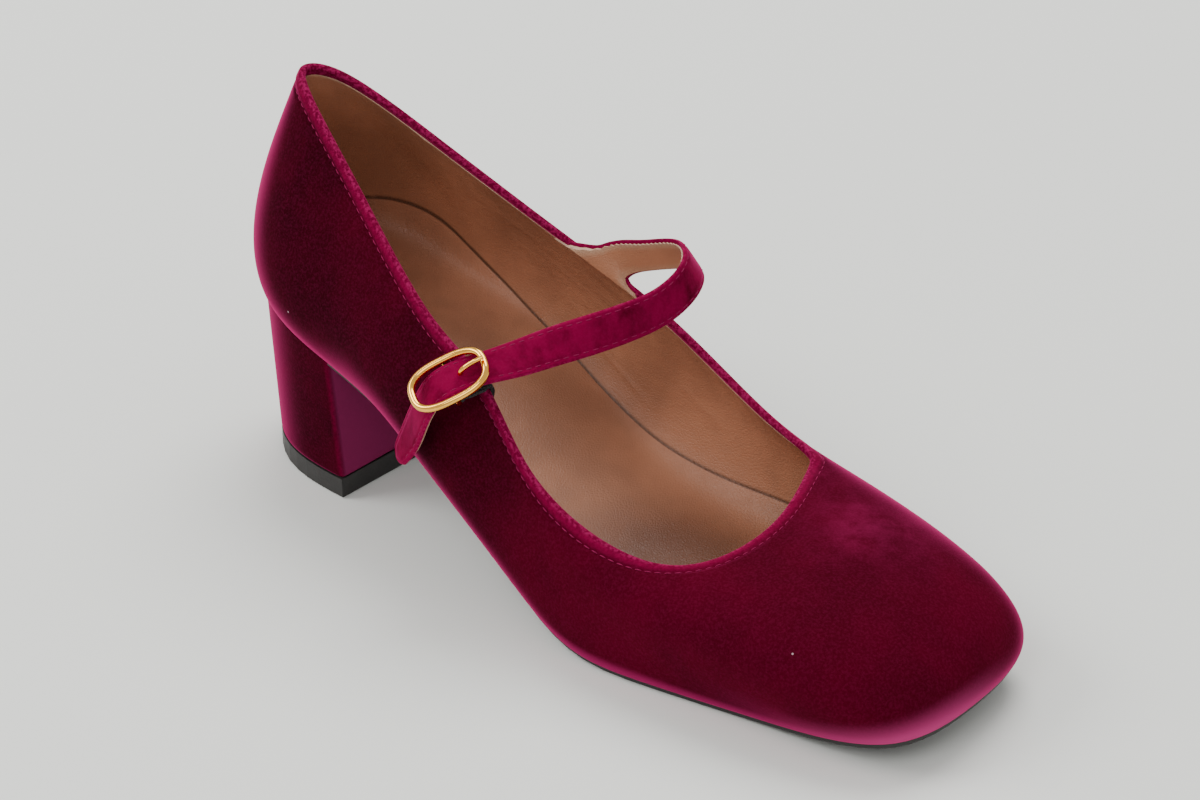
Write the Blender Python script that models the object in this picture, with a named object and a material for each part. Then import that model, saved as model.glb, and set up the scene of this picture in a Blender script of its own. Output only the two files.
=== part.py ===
"""A velvet Mary Jane pump with a square toe and a block heel, right foot.

Metres, +Z up. The toe points along +X, the inner side of the foot is +Y and the outer, buckled side is -Y.
The last, that is the inside form of the shoe, is worked out from a few driving sizes. A short table of ribs
says how the upper rises from the sole's edge to the topline, and a short table of stations leads the strap.
"""

import math

import bmesh
import bpy
import numpy as np
from mathutils import Matrix

# Driving sizes of the last
LENGTH = 0.248
BALL_WIDTH = 0.084
HEEL_HEIGHT = 0.048
TOE_SPRING = 0.009
COLLAR_HEIGHT = 0.058

# Upper and footbed
WALL = 0.0020
RIM_ROUND = 0.0007
INSOLE_THICKNESS = 0.0035
HEEL_CUP = 0.0015
INSOLE_EASE = 0.0008

# Outsole and heel
SOLE_THICKNESS = 0.0022
SOLE_INSET = 0.0009
SOLE_BEVEL = 0.0006
BREAST_TOP = 0.0455
BREAST_LEAN = 0.0040
HEEL_INSET = 0.0008
HEEL_BACK_LEAN = 0.0028
HEEL_FOOT_WIDTH = 0.0548
TIP_THICKNESS = 0.0060
TIP_BEVEL = 0.0005

# Strap: how far it reaches ahead of its anchors and rises over them, and how far the tail hangs
STRAP_WIDTH = 0.0104
STRAP_THICKNESS = 0.0018
STRAP_REACH = 0.030
STRAP_RISE = 0.015
TAIL_DROP = 0.030

# Buckle, standing off the topline on its elastic
BUCKLE_STANDOFF = 0.009
BUCKLE_LENGTH = 0.0204
BUCKLE_SIDE = 0.0014
BUCKLE_WIRE = 0.0020
BAR_WIRE = 0.0014
PRONG_WIRE = 0.0013
ELASTIC_WIDTH = 0.0085
ELASTIC_THICKNESS = 0.0010
ELASTIC_REACH = 0.008

# Heights over the strap's middle line of the ring and its sunk bar, and the prong's way through the strap
RING_LIFT = 0.0005
BAR_DEPTH = -0.0032
PRONG_FOOT = -0.0021
PRONG_HOLE = -0.0031
PRONG_LEAN = -0.0007

# Clearances between neighbours, a little more under the bent bottom
GAP = 0.0003
SOLE_GAP = 0.0004

# How finely the ribs are sampled: steps between two ribs, and rows from the sole's edge to the topline
STEPS = 6
ROWS = (0.0, 0.05, 0.12, 0.21, 0.32, 0.44, 0.56, 0.68, 0.79, 0.89, 0.96, 1.0)

# The bottom of the foot in side view: share of LENGTH from the back, share of HEEL_HEIGHT above the ball
BOTTOM = (
    (0.00, 0.990),
    (0.06, 1.000),
    (0.14, 0.905),
    (0.22, 0.790),
    (0.30, 0.650),
    (0.38, 0.455),
    (0.46, 0.248),
    (0.54, 0.090),
    (0.61, 0.012),
    (0.66, 0.000),
    (0.72, 0.000),
)
TOE_START = 0.74

# Ribs of the upper, in order from the back along the outer side to the toe and home along the inner side.
# Each rib is a cubic curve: foot on the sole's edge, low handle, high handle, top on the topline.
# x columns are shares of LENGTH and y columns shares of half of BALL_WIDTH, from the back and the centre line.
# z columns are shares of COLLAR_HEIGHT, from the bottom of the foot. Handles count from their own end.
RIBS = (
    # name, foot x, foot y, low x, low y, low z, high x, high y, high z, top x, top y, top z
    ("back", 0.012, 0.00, -0.035, 0.00, 0.28, -0.026, 0.00, -0.31, 0.050, 0.00, 1.00),
    ("outer heel", 0.073, -0.55, -0.009, -0.15, 0.27, -0.010, -0.18, -0.27, 0.084, -0.18, 0.98),
    ("outer seat", 0.190, -0.67, 0.003, -0.21, 0.25, 0.001, -0.18, -0.21, 0.192, -0.39, 0.86),
    ("outer waist", 0.330, -0.70, -0.002, -0.33, 0.16, -0.001, -0.20, -0.18, 0.341, -0.64, 0.73),
    ("outer shank", 0.473, -0.83, -0.002, -0.25, 0.15, 0.000, -0.10, -0.21, 0.433, -0.73, 0.76),
    ("outer ball", 0.610, -0.97, 0.005, -0.06, 0.17, 0.005, -0.14, -0.21, 0.515, -0.82, 0.62),
    ("outer toe", 0.801, -0.76, 0.009, -0.15, 0.24, 0.003, -0.32, -0.14, 0.634, -0.80, 0.55),
    ("outer corner", 0.965, -0.55, 0.015, -0.17, 0.27, 0.113, -0.18, 0.06, 0.713, -0.50, 0.54),
    ("toe", 0.988, 0.06, 0.019, 0.00, 0.28, 0.139, 0.00, 0.11, 0.727, 0.02, 0.59),
    ("inner corner", 0.955, 0.70, 0.028, 0.10, 0.26, 0.141, 0.11, 0.02, 0.698, 0.51, 0.62),
    ("inner toe", 0.866, 0.82, 0.011, 0.13, 0.25, 0.042, 0.24, -0.12, 0.675, 0.70, 0.63),
    ("inner ball", 0.700, 0.91, 0.000, 0.19, 0.17, 0.000, 0.20, -0.18, 0.603, 0.77, 0.67),
    ("inner shank", 0.499, 0.63, 0.000, 0.34, 0.17, -0.001, 0.19, -0.21, 0.472, 0.75, 0.77),
    ("inner waist", 0.330, 0.68, -0.002, 0.33, 0.16, -0.001, 0.21, -0.18, 0.340, 0.62, 0.75),
    ("inner seat", 0.190, 0.67, 0.003, 0.21, 0.25, 0.001, 0.18, -0.21, 0.192, 0.39, 0.86),
    ("inner heel", 0.073, 0.55, -0.009, 0.15, 0.27, -0.010, 0.18, -0.27, 0.084, 0.18, 0.98),
)
TOE_RIB = 8

# Where the strap rises from the topline and where the elastic crosses it, as places round the ribs
ROOT_PLACE = 12.66
BUCKLE_PLACE = 3.95

# Stations of the strap's middle line after its root, up to the tail's tip.
# across: share of the way from the root to the buckle's place. ahead, above, out and hang: shares of STRAP_REACH,
# STRAP_RISE, BUCKLE_STANDOFF and TAIL_DROP. tilt and yaw: degrees that the width dips and turns inward from ahead.
STRAP = (
    # name, across, ahead, above, out, hang, tilt, yaw, wide as a share of STRAP_WIDTH
    ("fillet", -0.002, 0.125, 0.231, 0.00, 0.000, 36, 18, 1.32),
    ("stem", -0.032, 0.356, 0.381, 0.00, 0.000, 52, 36, 1.06),
    ("rise", -0.054, 0.630, 0.566, 0.00, 0.000, 58, 41, 1.00),
    ("shoulder", -0.048, 0.888, 0.755, 0.00, 0.000, 59, 41, 1.00),
    ("bend", 0.018, 1.068, 0.851, 0.00, 0.000, 60, 41, 1.00),
    ("crown", 0.134, 1.154, 0.810, 0.00, 0.000, 65, 42, 1.00),
    ("inner instep", 0.273, 1.075, 0.631, 0.00, 0.000, 66, 35, 1.00),
    ("instep", 0.422, 0.876, 0.488, 0.00, 0.000, 62, 15, 1.00),
    ("outer instep", 0.552, 0.637, 0.353, 0.00, 0.000, 56, -5, 1.00),
    ("approach", 0.693, 0.407, 0.267, 0.00, 0.000, 44, -20, 1.00),
    ("over rim", 0.859, 0.209, 0.244, 0.00, 0.000, 30, -26, 1.00),
    ("entry", 1.000, 0.026, 0.229, 0.18, 0.000, 21, -29, 0.98),
    ("buckle", 1.000, -0.165, -0.168, 1.08, 0.000, 20, -29, 0.98),
    ("exit", 1.000, -0.323, 0.000, 1.35, 0.378, 22, -28, 0.98),
    ("tail", 1.000, -0.483, 0.000, 1.33, 0.709, 23, -26, 0.96),
    ("tip", 1.000, -0.644, 0.000, 1.37, 1.001, 23, -27, 0.66),
)
ROOT_WIDE = 1.75
BUCKLE_STATION = 12.72


def natural_spline(knots, values, at):
    """A smooth curve through the values at their knots, read at other places."""
    knots = np.asarray(knots, float)
    values = np.asarray(values, float)
    flat = values.reshape(len(knots), -1)
    count = len(knots)
    steps = np.diff(knots)
    matrix = np.eye(count)
    right = np.zeros_like(flat)
    for i in range(1, count - 1):
        matrix[i, i - 1] = steps[i - 1]
        matrix[i, i] = 2 * (steps[i - 1] + steps[i])
        matrix[i, i + 1] = steps[i]
        right[i] = 6 * ((flat[i + 1] - flat[i]) / steps[i] - (flat[i] - flat[i - 1]) / steps[i - 1])
    bend = np.linalg.solve(matrix, right)
    at = np.clip(np.atleast_1d(np.asarray(at, float)), knots[0], knots[-1])
    k = np.clip(np.searchsorted(knots, at) - 1, 0, count - 2)
    t = (at - knots[k])[:, None]
    h = steps[k][:, None]
    slope = (flat[k + 1] - flat[k]) / h - h * (2 * bend[k] + bend[k + 1]) / 6
    found = flat[k] + t * slope + t**2 * bend[k] / 2 + t**3 * (bend[k + 1] - bend[k]) / (6 * h)
    return found.reshape((len(at),) + values.shape[1:])


def bottom(x):
    """Height of the foot's bottom above the floor, at a distance from the back."""
    share = np.atleast_1d(np.asarray(x, float)) / LENGTH
    table = np.array(BOTTOM)
    arch = HEEL_HEIGHT * np.maximum(natural_spline(table[:, 0], table[:, 1], share), 0)
    toe = TOE_SPRING * ((share - TOE_START) / (1 - TOE_START)) ** 2
    height = np.where(share < BOTTOM[-2][0], arch, np.where(share > TOE_START, toe, 0))
    return height + SOLE_THICKNESS


def rib_controls():
    """The four control points of each rib, in metres."""
    half = BALL_WIDTH / 2
    rows = []
    for name, fx, fy, lx, ly, lz, hx, hy, hz, tx, ty, tz in RIBS:
        foot = np.array([fx * LENGTH, fy * half, bottom(fx * LENGTH)[0]])
        low = foot + (lx * LENGTH, ly * half, lz * COLLAR_HEIGHT)
        top = np.array([tx * LENGTH, ty * half, bottom(tx * LENGTH)[0] + tz * COLLAR_HEIGHT])
        high = top + (hx * LENGTH, hy * half, hz * COLLAR_HEIGHT)
        rows.append((foot, low, high, top))
    return np.array(rows)


def ribs_at(places):
    """Control points between the ribs, with each foot on the bottom. Place 0 is the back, TOE_RIB the toe."""
    controls = rib_controls()
    count = len(controls)
    around = np.concatenate([controls, controls, controls, controls[:1]])
    chords = np.linalg.norm(np.diff(around.reshape(len(around), -1), axis=0), axis=1)
    knots = np.concatenate([[0], np.cumsum(np.sqrt(chords))])
    wanted = np.atleast_1d(np.asarray(places, float)) % count + count
    found = natural_spline(knots, around, np.interp(wanted, np.arange(len(knots)), knots))
    sag = bottom(found[:, 0, 0]) - found[:, 0, 2]
    found[:, :2, 2] += sag[:, None]
    return found


def along_rib(controls, share):
    """Points of ribs at a share of the way from foot to top."""
    s = share
    return (
        (1 - s) ** 3 * controls[..., 0, :]
        + 3 * (1 - s) ** 2 * s * controls[..., 1, :]
        + 3 * (1 - s) * s**2 * controls[..., 2, :]
        + s**3 * controls[..., 3, :]
    )


def outer_at(places, share):
    return along_rib(ribs_at(places), share)


def outward_at(places, share):
    """Unit normals of the upper's outer side, level at the sole's edge, where the wall is cut off flat."""
    step = 0.02
    low, high = max(share - step, 0), min(share + step, 1)
    around = outer_at(np.asarray(places) - step, share) - outer_at(np.asarray(places) + step, share)
    up = outer_at(places, high) - outer_at(places, low)
    normal = np.cross(up, around)
    normal /= np.linalg.norm(normal, axis=1, keepdims=True)
    normal[:, 2] *= min(share / 0.15, 1)
    return normal / np.linalg.norm(normal, axis=1, keepdims=True)


def inner_at(places, share, depth=WALL):
    """Points of the upper's inner side, or a clearance further in."""
    return outer_at(places, share) - outward_at(places, share) * depth


def unit(vectors):
    return vectors / np.linalg.norm(vectors, axis=-1, keepdims=True)


def rim_at(places):
    """The middle of the wall at the topline, with the ways up, outward and ahead along it."""
    up = unit(outer_at(places, 1) - outer_at(places, 0.97))
    middle = (outer_at(places, 1) + inner_at(places, 1)) / 2
    return middle, up, outward_at(places, 1)


def strap_stations():
    """Positions, width directions and half widths of the strap at its root and its stations."""
    middle, up, _ = rim_at([ROOT_PLACE])
    start = middle[0] + up[0] * (RIM_ROUND + SOLE_GAP)
    ahead = unit(outer_at([ROOT_PLACE - 0.2], 1) - outer_at([ROOT_PLACE + 0.2], 1))[0]
    root = outer_at([ROOT_PLACE], 1)[0]
    side = outer_at([BUCKLE_PLACE], 1)[0]
    away = outward_at([BUCKLE_PLACE], 1)[0]
    spots, widths, halves = [start], [ahead], [ROOT_WIDE * STRAP_WIDTH / 2]
    for name, across_share, forward, above, out, hang, tilt, yaw, wide in STRAP:
        spot = root + across_share * (side - root) + out * BUCKLE_STANDOFF * away
        spot = spot + (forward * STRAP_REACH, 0, above * STRAP_RISE - hang * TAIL_DROP)
        dip, turn = math.radians(tilt), math.radians(yaw)
        spots.append(spot)
        widths.append((math.cos(dip) * math.cos(turn), math.cos(dip) * math.sin(turn), -math.sin(dip)))
        halves.append(wide * STRAP_WIDTH / 2)
    return np.array(spots), np.array(widths), np.array(halves)


def strap_at(stations):
    """The strap's middle line with its ways along, across and out, and its half width."""
    spots, widths, halves = strap_stations()
    lengths = np.linalg.norm(np.diff(spots, axis=0), axis=1)
    knots = np.concatenate([[0], np.cumsum(lengths)])
    wanted = np.interp(stations, np.arange(len(knots)), knots)
    step = knots[-1] / 400
    middle = natural_spline(knots, spots, wanted)
    along = unit(natural_spline(knots, spots, wanted + step) - natural_spline(knots, spots, wanted - step))
    width = natural_spline(knots, widths, wanted)
    width = unit(width - along * (width * along).sum(axis=1, keepdims=True))
    out = np.cross(along, width)
    root = np.clip(1 - np.asarray(stations), 0, 1)[:, None]
    width = unit(width + root * (widths[0] - width))
    out = out + root * (outward_at([ROOT_PLACE], 1) - out)
    out = unit(out - width * (out * width).sum(axis=1, keepdims=True))
    return middle, along, width, out, natural_spline(knots, halves, wanted)


def buckle_point(t, w, n):
    """A point of the buckle: t along the strap to its tail, w across it, n out of it."""
    middle, along, width, out, _ = strap_at([BUCKLE_STATION])
    return middle[0] + along[0] * t + width[0] * w + out[0] * n


def mesh_object(name, points, faces, colour, roughness, metallic=0.0, sharp=40):
    """One closed body of its own material, with its faces out and round parts smooth."""
    mesh = bpy.data.meshes.new(name)
    mesh.from_pydata([tuple(p) for p in points], [], faces)
    build = bmesh.new()
    build.from_mesh(mesh)
    bmesh.ops.recalc_face_normals(build, faces=build.faces)
    build.to_mesh(mesh)
    build.free()
    mesh.shade_smooth()
    mesh.set_sharp_from_angle(angle=math.radians(sharp))
    piece = bpy.data.objects.new(name, mesh)
    bpy.context.scene.collection.objects.link(piece)
    material = bpy.data.materials.new(name)
    material.use_nodes = True
    shader = material.node_tree.nodes["Principled BSDF"]
    shader.inputs["Base Color"].default_value = (*colour, 1)
    shader.inputs["Roughness"].default_value = roughness
    shader.inputs["Metallic"].default_value = metallic
    mesh.materials.append(material)
    return piece


def ring_faces(rings, size, closed):
    """Quads between rings of one size, and on from the last ring to the first where closed."""
    faces = []
    for j in range(rings if closed else rings - 1):
        k = (j + 1) % rings
        for i in range(size):
            n = (i + 1) % size
            faces.append((j * size + i, j * size + n, k * size + n, k * size + i))
    return faces


def capped_tube(rings):
    """Points and faces of a body swept through rings, with a flat cap at each end."""
    size = len(rings[0])
    faces = ring_faces(len(rings), size, False)
    faces.append(tuple(range(size)))
    faces.append(tuple((len(rings) - 1) * size + i for i in reversed(range(size))))
    return np.concatenate(rings), faces


def deck(rungs, start):
    """Faces of a plate made of rungs, each a row of points across, where an end rung may be one point."""
    faces = []
    firsts = [start + sum(len(r) for r in rungs[:k]) for k in range(len(rungs))]
    for k in range(len(rungs) - 1):
        a, b = firsts[k], firsts[k + 1]
        na, nb = len(rungs[k]), len(rungs[k + 1])
        for i in range(max(na, nb) - 1):
            if na == 1:
                faces.append((a, b + i, b + i + 1))
            elif nb == 1:
                faces.append((a + i, a + i + 1, b))
            else:
                faces.append((a + i, a + i + 1, b + i + 1, b + i))
    return faces


def rim_of(rungs, start):
    """Indices around the edge of a plate of rungs."""
    firsts = [start + sum(len(r) for r in rungs[:k]) for k in range(len(rungs))]
    loop = list(range(firsts[0], firsts[0] + len(rungs[0])))
    loop += [firsts[k] + len(rungs[k]) - 1 for k in range(1, len(rungs) - 1)]
    loop += list(reversed(range(firsts[-1], firsts[-1] + len(rungs[-1]))))
    loop += [firsts[k] for k in range(len(rungs) - 2, 0, -1)]
    return loop


def slab(layers):
    """A body between plates of like rungs: whole plates at both ends, and only their edges between."""
    points = []
    loops = []
    faces = []
    for number, rungs in enumerate(layers):
        start = len(points)
        flat = [p for rung in rungs for p in rung]
        if number in (0, len(layers) - 1):
            points += flat
            faces += deck(rungs, start)
            loops.append(rim_of(rungs, start))
        else:
            edge = rim_of(rungs, 0)
            points += [flat[i] for i in edge]
            loops.append(list(range(start, start + len(edge))))
    for low, high in zip(loops, loops[1:]):
        for i in range(len(low)):
            n = (i + 1) % len(low)
            faces.append((low[i], low[n], high[n], high[i]))
    return points, faces


def across(left, right, count):
    return [left + (right - left) * k / count for k in range(count + 1)]


def place_of(x, side):
    """Where the sole's edge passes a distance from the back: side -1 is the outer side, 1 the inner side."""
    low, high = (0.0, float(TOE_RIB)) if side < 0 else (float(len(RIBS)), float(TOE_RIB))
    for _ in range(40):
        middle = (low + high) / 2
        if outer_at([middle], 0)[0][0] < x:
            low = middle
        else:
            high = middle
    return (low + high) / 2


def edge_in(places, inset, drop):
    """The sole's edge moved in level, and lowered below the foot's bottom."""
    points = outer_at(places, 0) - outward_at(places, 0) * inset
    points[:, 2] = bottom(points[:, 0]) - drop
    return points


def make_upper():
    count = len(RIBS) * STEPS
    places = np.arange(count) / STEPS
    rings = [outer_at(places, share) for share in ROWS]
    crest = (rings[-1] + inner_at(places, 1)) / 2
    lift = outer_at(places, 1) - outer_at(places, 0.97)
    crest += lift / np.linalg.norm(lift, axis=1, keepdims=True) * RIM_ROUND
    rings.append(crest)
    rings += [inner_at(places, share) for share in reversed(ROWS[1:])]
    rings.append(edge_in(places, WALL, 0))
    faces = ring_faces(len(rings), count, True)
    mesh_object("upper", np.concatenate(rings), faces, (0.20, 0.002, 0.035), 0.85, sharp=60)


def make_insole():
    """A footbed inside the upper: its edge leans with the wall, and its top is cupped at the heel."""
    inset = WALL + INSOLE_EASE
    half = len(RIBS) * STEPS // 2
    places = np.arange(2 * half) / STEPS
    low = edge_in(places, inset, 0)
    heights = np.array([low] + [inner_at(places, share, inset) for share in ROWS[1:4]])
    high = low.copy()
    for i in range(2 * half):
        rise = heights[:, i, 2] - low[i, 2]
        for axis in (0, 1):
            high[i, axis] = np.interp(INSOLE_THICKNESS, rise, heights[:, i, axis])
        high[i, 2] = low[i, 2] + INSOLE_THICKNESS

    def plate(ring, height, cup):
        rungs = [[ring[0]]]
        for k in range(1, half):
            rung = across(ring[k], ring[-k], 6)
            for j, point in enumerate(rung):
                side = abs(2 * j / 6 - 1)
                heel = max(0, 1 - point[0] / (0.30 * LENGTH))
                point[2] = bottom(point[0])[0] + height - cup * heel * (1 - side**2)
            rungs.append(rung)
        rungs.append([ring[half]])
        return rungs

    points, faces = slab([plate(low, 0, 0), plate(high, INSOLE_THICKNESS, HEEL_CUP)])
    mesh_object("insole", points, faces, (0.22, 0.10, 0.055), 0.5)


def make_outsole():
    """A thin sole from the heel's breast to the toe, with a bevelled lower edge."""
    back = BREAST_TOP + 2 * GAP
    outer, inner = place_of(back, -1), place_of(back, 1)
    steps = 38

    def plate(inset, drop):
        left = edge_in(np.linspace(outer, TOE_RIB, steps + 1), inset, drop)
        right = edge_in(np.linspace(inner, TOE_RIB, steps + 1), inset, drop)
        for side in (left, right):
            side[0, 0] = back
            side[0, 2] = bottom(back)[0] - drop
        rungs = [across(left[k], right[k], 5) for k in range(steps)]
        for rung in rungs:
            for point in rung:
                point[2] = bottom(point[0])[0] - drop
        rungs.append([left[steps]])
        return rungs

    layers = [
        plate(SOLE_INSET + SOLE_BEVEL, SOLE_THICKNESS),
        plate(SOLE_INSET, SOLE_THICKNESS - SOLE_BEVEL),
        plate(SOLE_INSET, SOLE_GAP),
    ]
    points, faces = slab(layers)
    mesh_object("outsole", points, faces, (0.018, 0.016, 0.016), 0.6, sharp=35)


def heel_plates():
    """The plate under the foot and the plate on the top piece, with the same rungs."""
    outer = place_of(BREAST_TOP, -1)
    steps = 12
    left = edge_in(np.linspace(0, outer, steps + 1), HEEL_INSET, SOLE_GAP)
    left[-1, 0] = BREAST_TOP
    top = [[left[0]]]
    foot = [[None]]
    half = HEEL_FOOT_WIDTH / 2
    widest = left[:, 1].min()
    back, back_foot = left[0, 0], left[0, 0] + HEEL_BACK_LEAN
    stretch = (BREAST_TOP + BREAST_LEAN - back_foot) / (BREAST_TOP - back)
    foot[0][0] = np.array([back_foot, 0, TIP_THICKNESS + GAP])
    for k in range(1, steps + 1):
        right = left[k] * (1, -1, 1)
        rung = across(left[k], right, 6)
        for point in rung:
            point[2] = bottom(point[0])[0] - SOLE_GAP
        top.append(rung)
        x = back_foot + (left[k, 0] - back) * stretch
        y = left[k, 1] / widest * -half
        foot.append(across(np.array([x, y, TIP_THICKNESS + GAP]), np.array([x, -y, TIP_THICKNESS + GAP]), 6))
    return top, foot


def make_heel():
    """The covered block, from the foot's bottom down to the top piece."""
    top, foot = heel_plates()

    def between(share):
        return [[a + (b - a) * share for a, b in zip(low, high)] for low, high in zip(foot, top)]

    points, faces = slab([foot, between(0.3), between(0.6), between(0.85), top])
    mesh_object("heel", points, faces, (0.20, 0.002, 0.035), 0.85)


def make_heel_tip():
    """The rubber top piece that the heel stands on."""
    _, foot = heel_plates()
    middle = np.array([(foot[0][0][0] + foot[-1][0][0]) / 2, 0, 0])

    def plate(height, inset):
        rungs = []
        for rung in foot:
            moved = []
            for point in rung:
                arm = (point - middle) * (1, 1, 0)
                moved.append(point + (0, 0, height - point[2]) - arm / np.linalg.norm(foot[-1][0] - middle) * inset)
            rungs.append(moved)
        return rungs

    points, faces = slab([plate(0, TIP_BEVEL), plate(TIP_BEVEL, 0), plate(TIP_THICKNESS, 0)])
    mesh_object("heel_tip", points, faces, (0.02, 0.018, 0.017), 0.65)


def wire(path, radius, closed=False, sides=8):
    """Points and faces of a round wire along a path."""
    path = np.array(path)
    if closed:
        along = unit(np.roll(path, -1, axis=0) - np.roll(path, 1, axis=0))
    else:
        along = unit(np.gradient(path, axis=0))
    side = np.cross(along[0], (0.3, 0.5, 0.8))
    rings = []
    for point, way in zip(path, along):
        side = unit(side - way * (side @ way))
        other = np.cross(way, side)
        turns = [2 * math.pi * k / sides for k in range(sides)]
        rings.append(np.array([point + radius * (side * math.cos(a) + other * math.sin(a)) for a in turns]))
    if closed:
        return np.concatenate(rings), ring_faces(len(rings), sides, True)
    return capped_tube(rings)


def operate(piece, other, operation):
    """A Boolean with a hidden helper."""
    other.hide_render = True
    other.display_type = "WIRE"
    cut = piece.modifiers.new(operation.lower(), "BOOLEAN")
    cut.operation = operation
    cut.solver = "EXACT"
    cut.object = other


def prong_path():
    """A curl under the bar, up through the strap and over to the buckle's inner end, in t and n."""
    curl = (BAR_WIRE + PRONG_WIRE) / 2 + GAP
    path = []
    for k in range(9):
        angle = math.radians(10 - 180 * k / 8)
        path.append((curl * math.cos(angle), BAR_DEPTH + curl * math.sin(angle)))
    rest = RING_LIFT + (BUCKLE_WIRE + PRONG_WIRE) / 2 + GAP
    end = -BUCKLE_LENGTH / 2
    path += [
        (PRONG_FOOT, -1.10 * STRAP_THICKNESS),
        (PRONG_HOLE, 0),
        (PRONG_HOLE + PRONG_LEAN, 0.62 * STRAP_THICKNESS),
        (0.62 * PRONG_HOLE + 0.38 * end, 0.86 * rest),
        (0.25 * PRONG_HOLE + 0.75 * end, rest),
        (end - 0.3 * BUCKLE_WIRE, rest),
    ]
    path = np.array(path)
    knots = np.concatenate([[0], np.cumsum(np.linalg.norm(np.diff(path, axis=0), axis=1))])
    return natural_spline(knots, path, np.linspace(0, knots[-1], 30))


def make_strap():
    middle, along, width, out, half = strap_at(np.linspace(0, len(STRAP), 50))
    thick = STRAP_THICKNESS / 2
    round_off = 0.4 * thick
    rings = []
    for m, w, n, h in zip(middle, width, out, half):
        corners = [(h - round_off, thick), (h, thick - round_off)]
        corners += [(a, -b) for a, b in reversed(corners)]
        corners += [(-a, -b) for a, b in corners]
        rings.append(np.array([m + w * a + n * b for a, b in corners]))
    points, faces = capped_tube(rings)
    strap = mesh_object("strap", points, faces, (0.22, 0.002, 0.045), 0.85)
    reach = 2.2 * STRAP_THICKNESS
    lean = np.array([PRONG_LEAN, 0.62 * STRAP_THICKNESS])
    lean = lean / np.linalg.norm(lean) * reach
    ends = [buckle_point(PRONG_HOLE - lean[0], 0, -lean[1]), buckle_point(PRONG_HOLE + lean[0], 0, lean[1])]
    points, faces = wire(ends, PRONG_WIRE / 2 + GAP, sides=16)
    operate(strap, mesh_object("prong_hole", points, faces, (0.1, 0.1, 0.1), 0.5), "DIFFERENCE")


def make_buckle():
    """A squarish oval ring with a sunk bar across its middle."""
    long, wide = BUCKLE_LENGTH / 2, STRAP_WIDTH / 2 + BUCKLE_SIDE
    ring = []
    for k in range(40):
        angle = 2 * math.pi * k / 40
        c, s = math.cos(angle), math.sin(angle)
        t = long * math.copysign(abs(c) ** 0.72, c)
        w = wide * math.copysign(abs(s) ** 0.72, s)
        ring.append(buckle_point(t, w, RING_LIFT))
    points, faces = wire(ring, BUCKLE_WIRE / 2, closed=True)
    buckle = mesh_object("buckle", points, faces, (0.83, 0.61, 0.22), 0.16, metallic=1.0)
    corner = 0.45 * (RING_LIFT - BAR_DEPTH)
    arm = [(wide, RING_LIFT), (wide, BAR_DEPTH + corner)]
    arm += [(wide - 0.3 * corner, BAR_DEPTH + 0.3 * corner), (wide - corner, BAR_DEPTH)]
    path = [buckle_point(0, w, n) for w, n in arm]
    path += [buckle_point(0, -w, n) for w, n in reversed(arm)]
    points, faces = wire(path, BAR_WIRE / 2)
    operate(buckle, mesh_object("buckle_bar", points, faces, (0.83, 0.61, 0.22), 0.16), "UNION")


def make_prong():
    points, faces = wire([buckle_point(t, 0, n) for t, n in prong_path()], PRONG_WIRE / 2)
    mesh_object("prong", points, faces, (0.83, 0.61, 0.22), 0.16, metallic=1.0)


def cells_body(stations, cells, bays):
    """A body of profile cells drawn across stations, where each bay names the cells that it has."""
    size = len(stations[0])
    faces = []
    for bay, chosen in enumerate(bays):
        before = bays[bay - 1] if bay else set()
        after = bays[bay + 1] if bay + 1 < len(bays) else set()
        near, far = bay * size, (bay + 1) * size
        for cell in chosen:
            corners = cells[cell]
            if cell not in before:
                faces.append(tuple(near + c for c in corners))
            if cell not in after:
                faces.append(tuple(far + c for c in reversed(corners)))
            for a, b in zip(corners, corners[1:] + corners[:1]):
                if not any(a in cells[o] and b in cells[o] for o in chosen if o != cell):
                    faces.append((near + b, near + a, far + a, far + b))
    return np.concatenate(stations), faces


def elastic_station(w):
    """The elastic's profile at a distance across it: a loop round the bar, then a band over the topline."""
    inner = BAR_WIRE / 2 + GAP
    outer = inner + ELASTIC_THICKNESS
    speed = np.linalg.norm(outer_at([BUCKLE_PLACE + 0.5], 1) - outer_at([BUCKLE_PLACE - 0.5], 1))
    place = [BUCKLE_PLACE + w / speed]
    middle, up, away = (found[0] for found in rim_at(place))
    clear = WALL / 2 + GAP + ELASTIC_THICKNESS / 2
    turn = []
    for degrees in range(40, 181, 20):
        angle = math.radians(degrees)
        turn.append(middle + clear * (away * math.cos(angle) + up * math.sin(angle)))
    wall_length = np.linalg.norm(outer_at(place, 1) - outer_at(place, 0.8)) / 0.2
    for k in (1, 2, 3, 4):
        share = 1 - k / 4 * ELASTIC_REACH / wall_length
        turn.append(inner_at(place, share, WALL + GAP + ELASTIC_THICKNESS / 2)[0])
    bar = buckle_point(0, w, BAR_DEPTH)
    _, along, width, out, _ = strap_at([BUCKLE_STATION])
    toward = turn[0] - bar
    heading = math.atan2(toward @ out[0], toward @ along[0])
    straight = unit(along[0] * math.cos(heading) + out[0] * math.sin(heading))
    points = []
    for radius in (inner, outer):
        for k in range(12):
            angle = heading + math.radians(30 * k - 15)
            points.append(bar + radius * (along[0] * math.cos(angle) + out[0] * math.sin(angle)))
    neck = bar + straight * (outer + PRONG_WIRE)
    path = np.array([bar + straight * outer, neck, (neck + turn[0]) / 2] + turn)
    ways = unit(np.gradient(path, axis=0))
    for point, way in list(zip(path, ways))[1:]:
        side = unit(np.cross(width[0], way)) * ELASTIC_THICKNESS / 2
        points += [point + side, point - side]
    return np.array(points)


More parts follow.
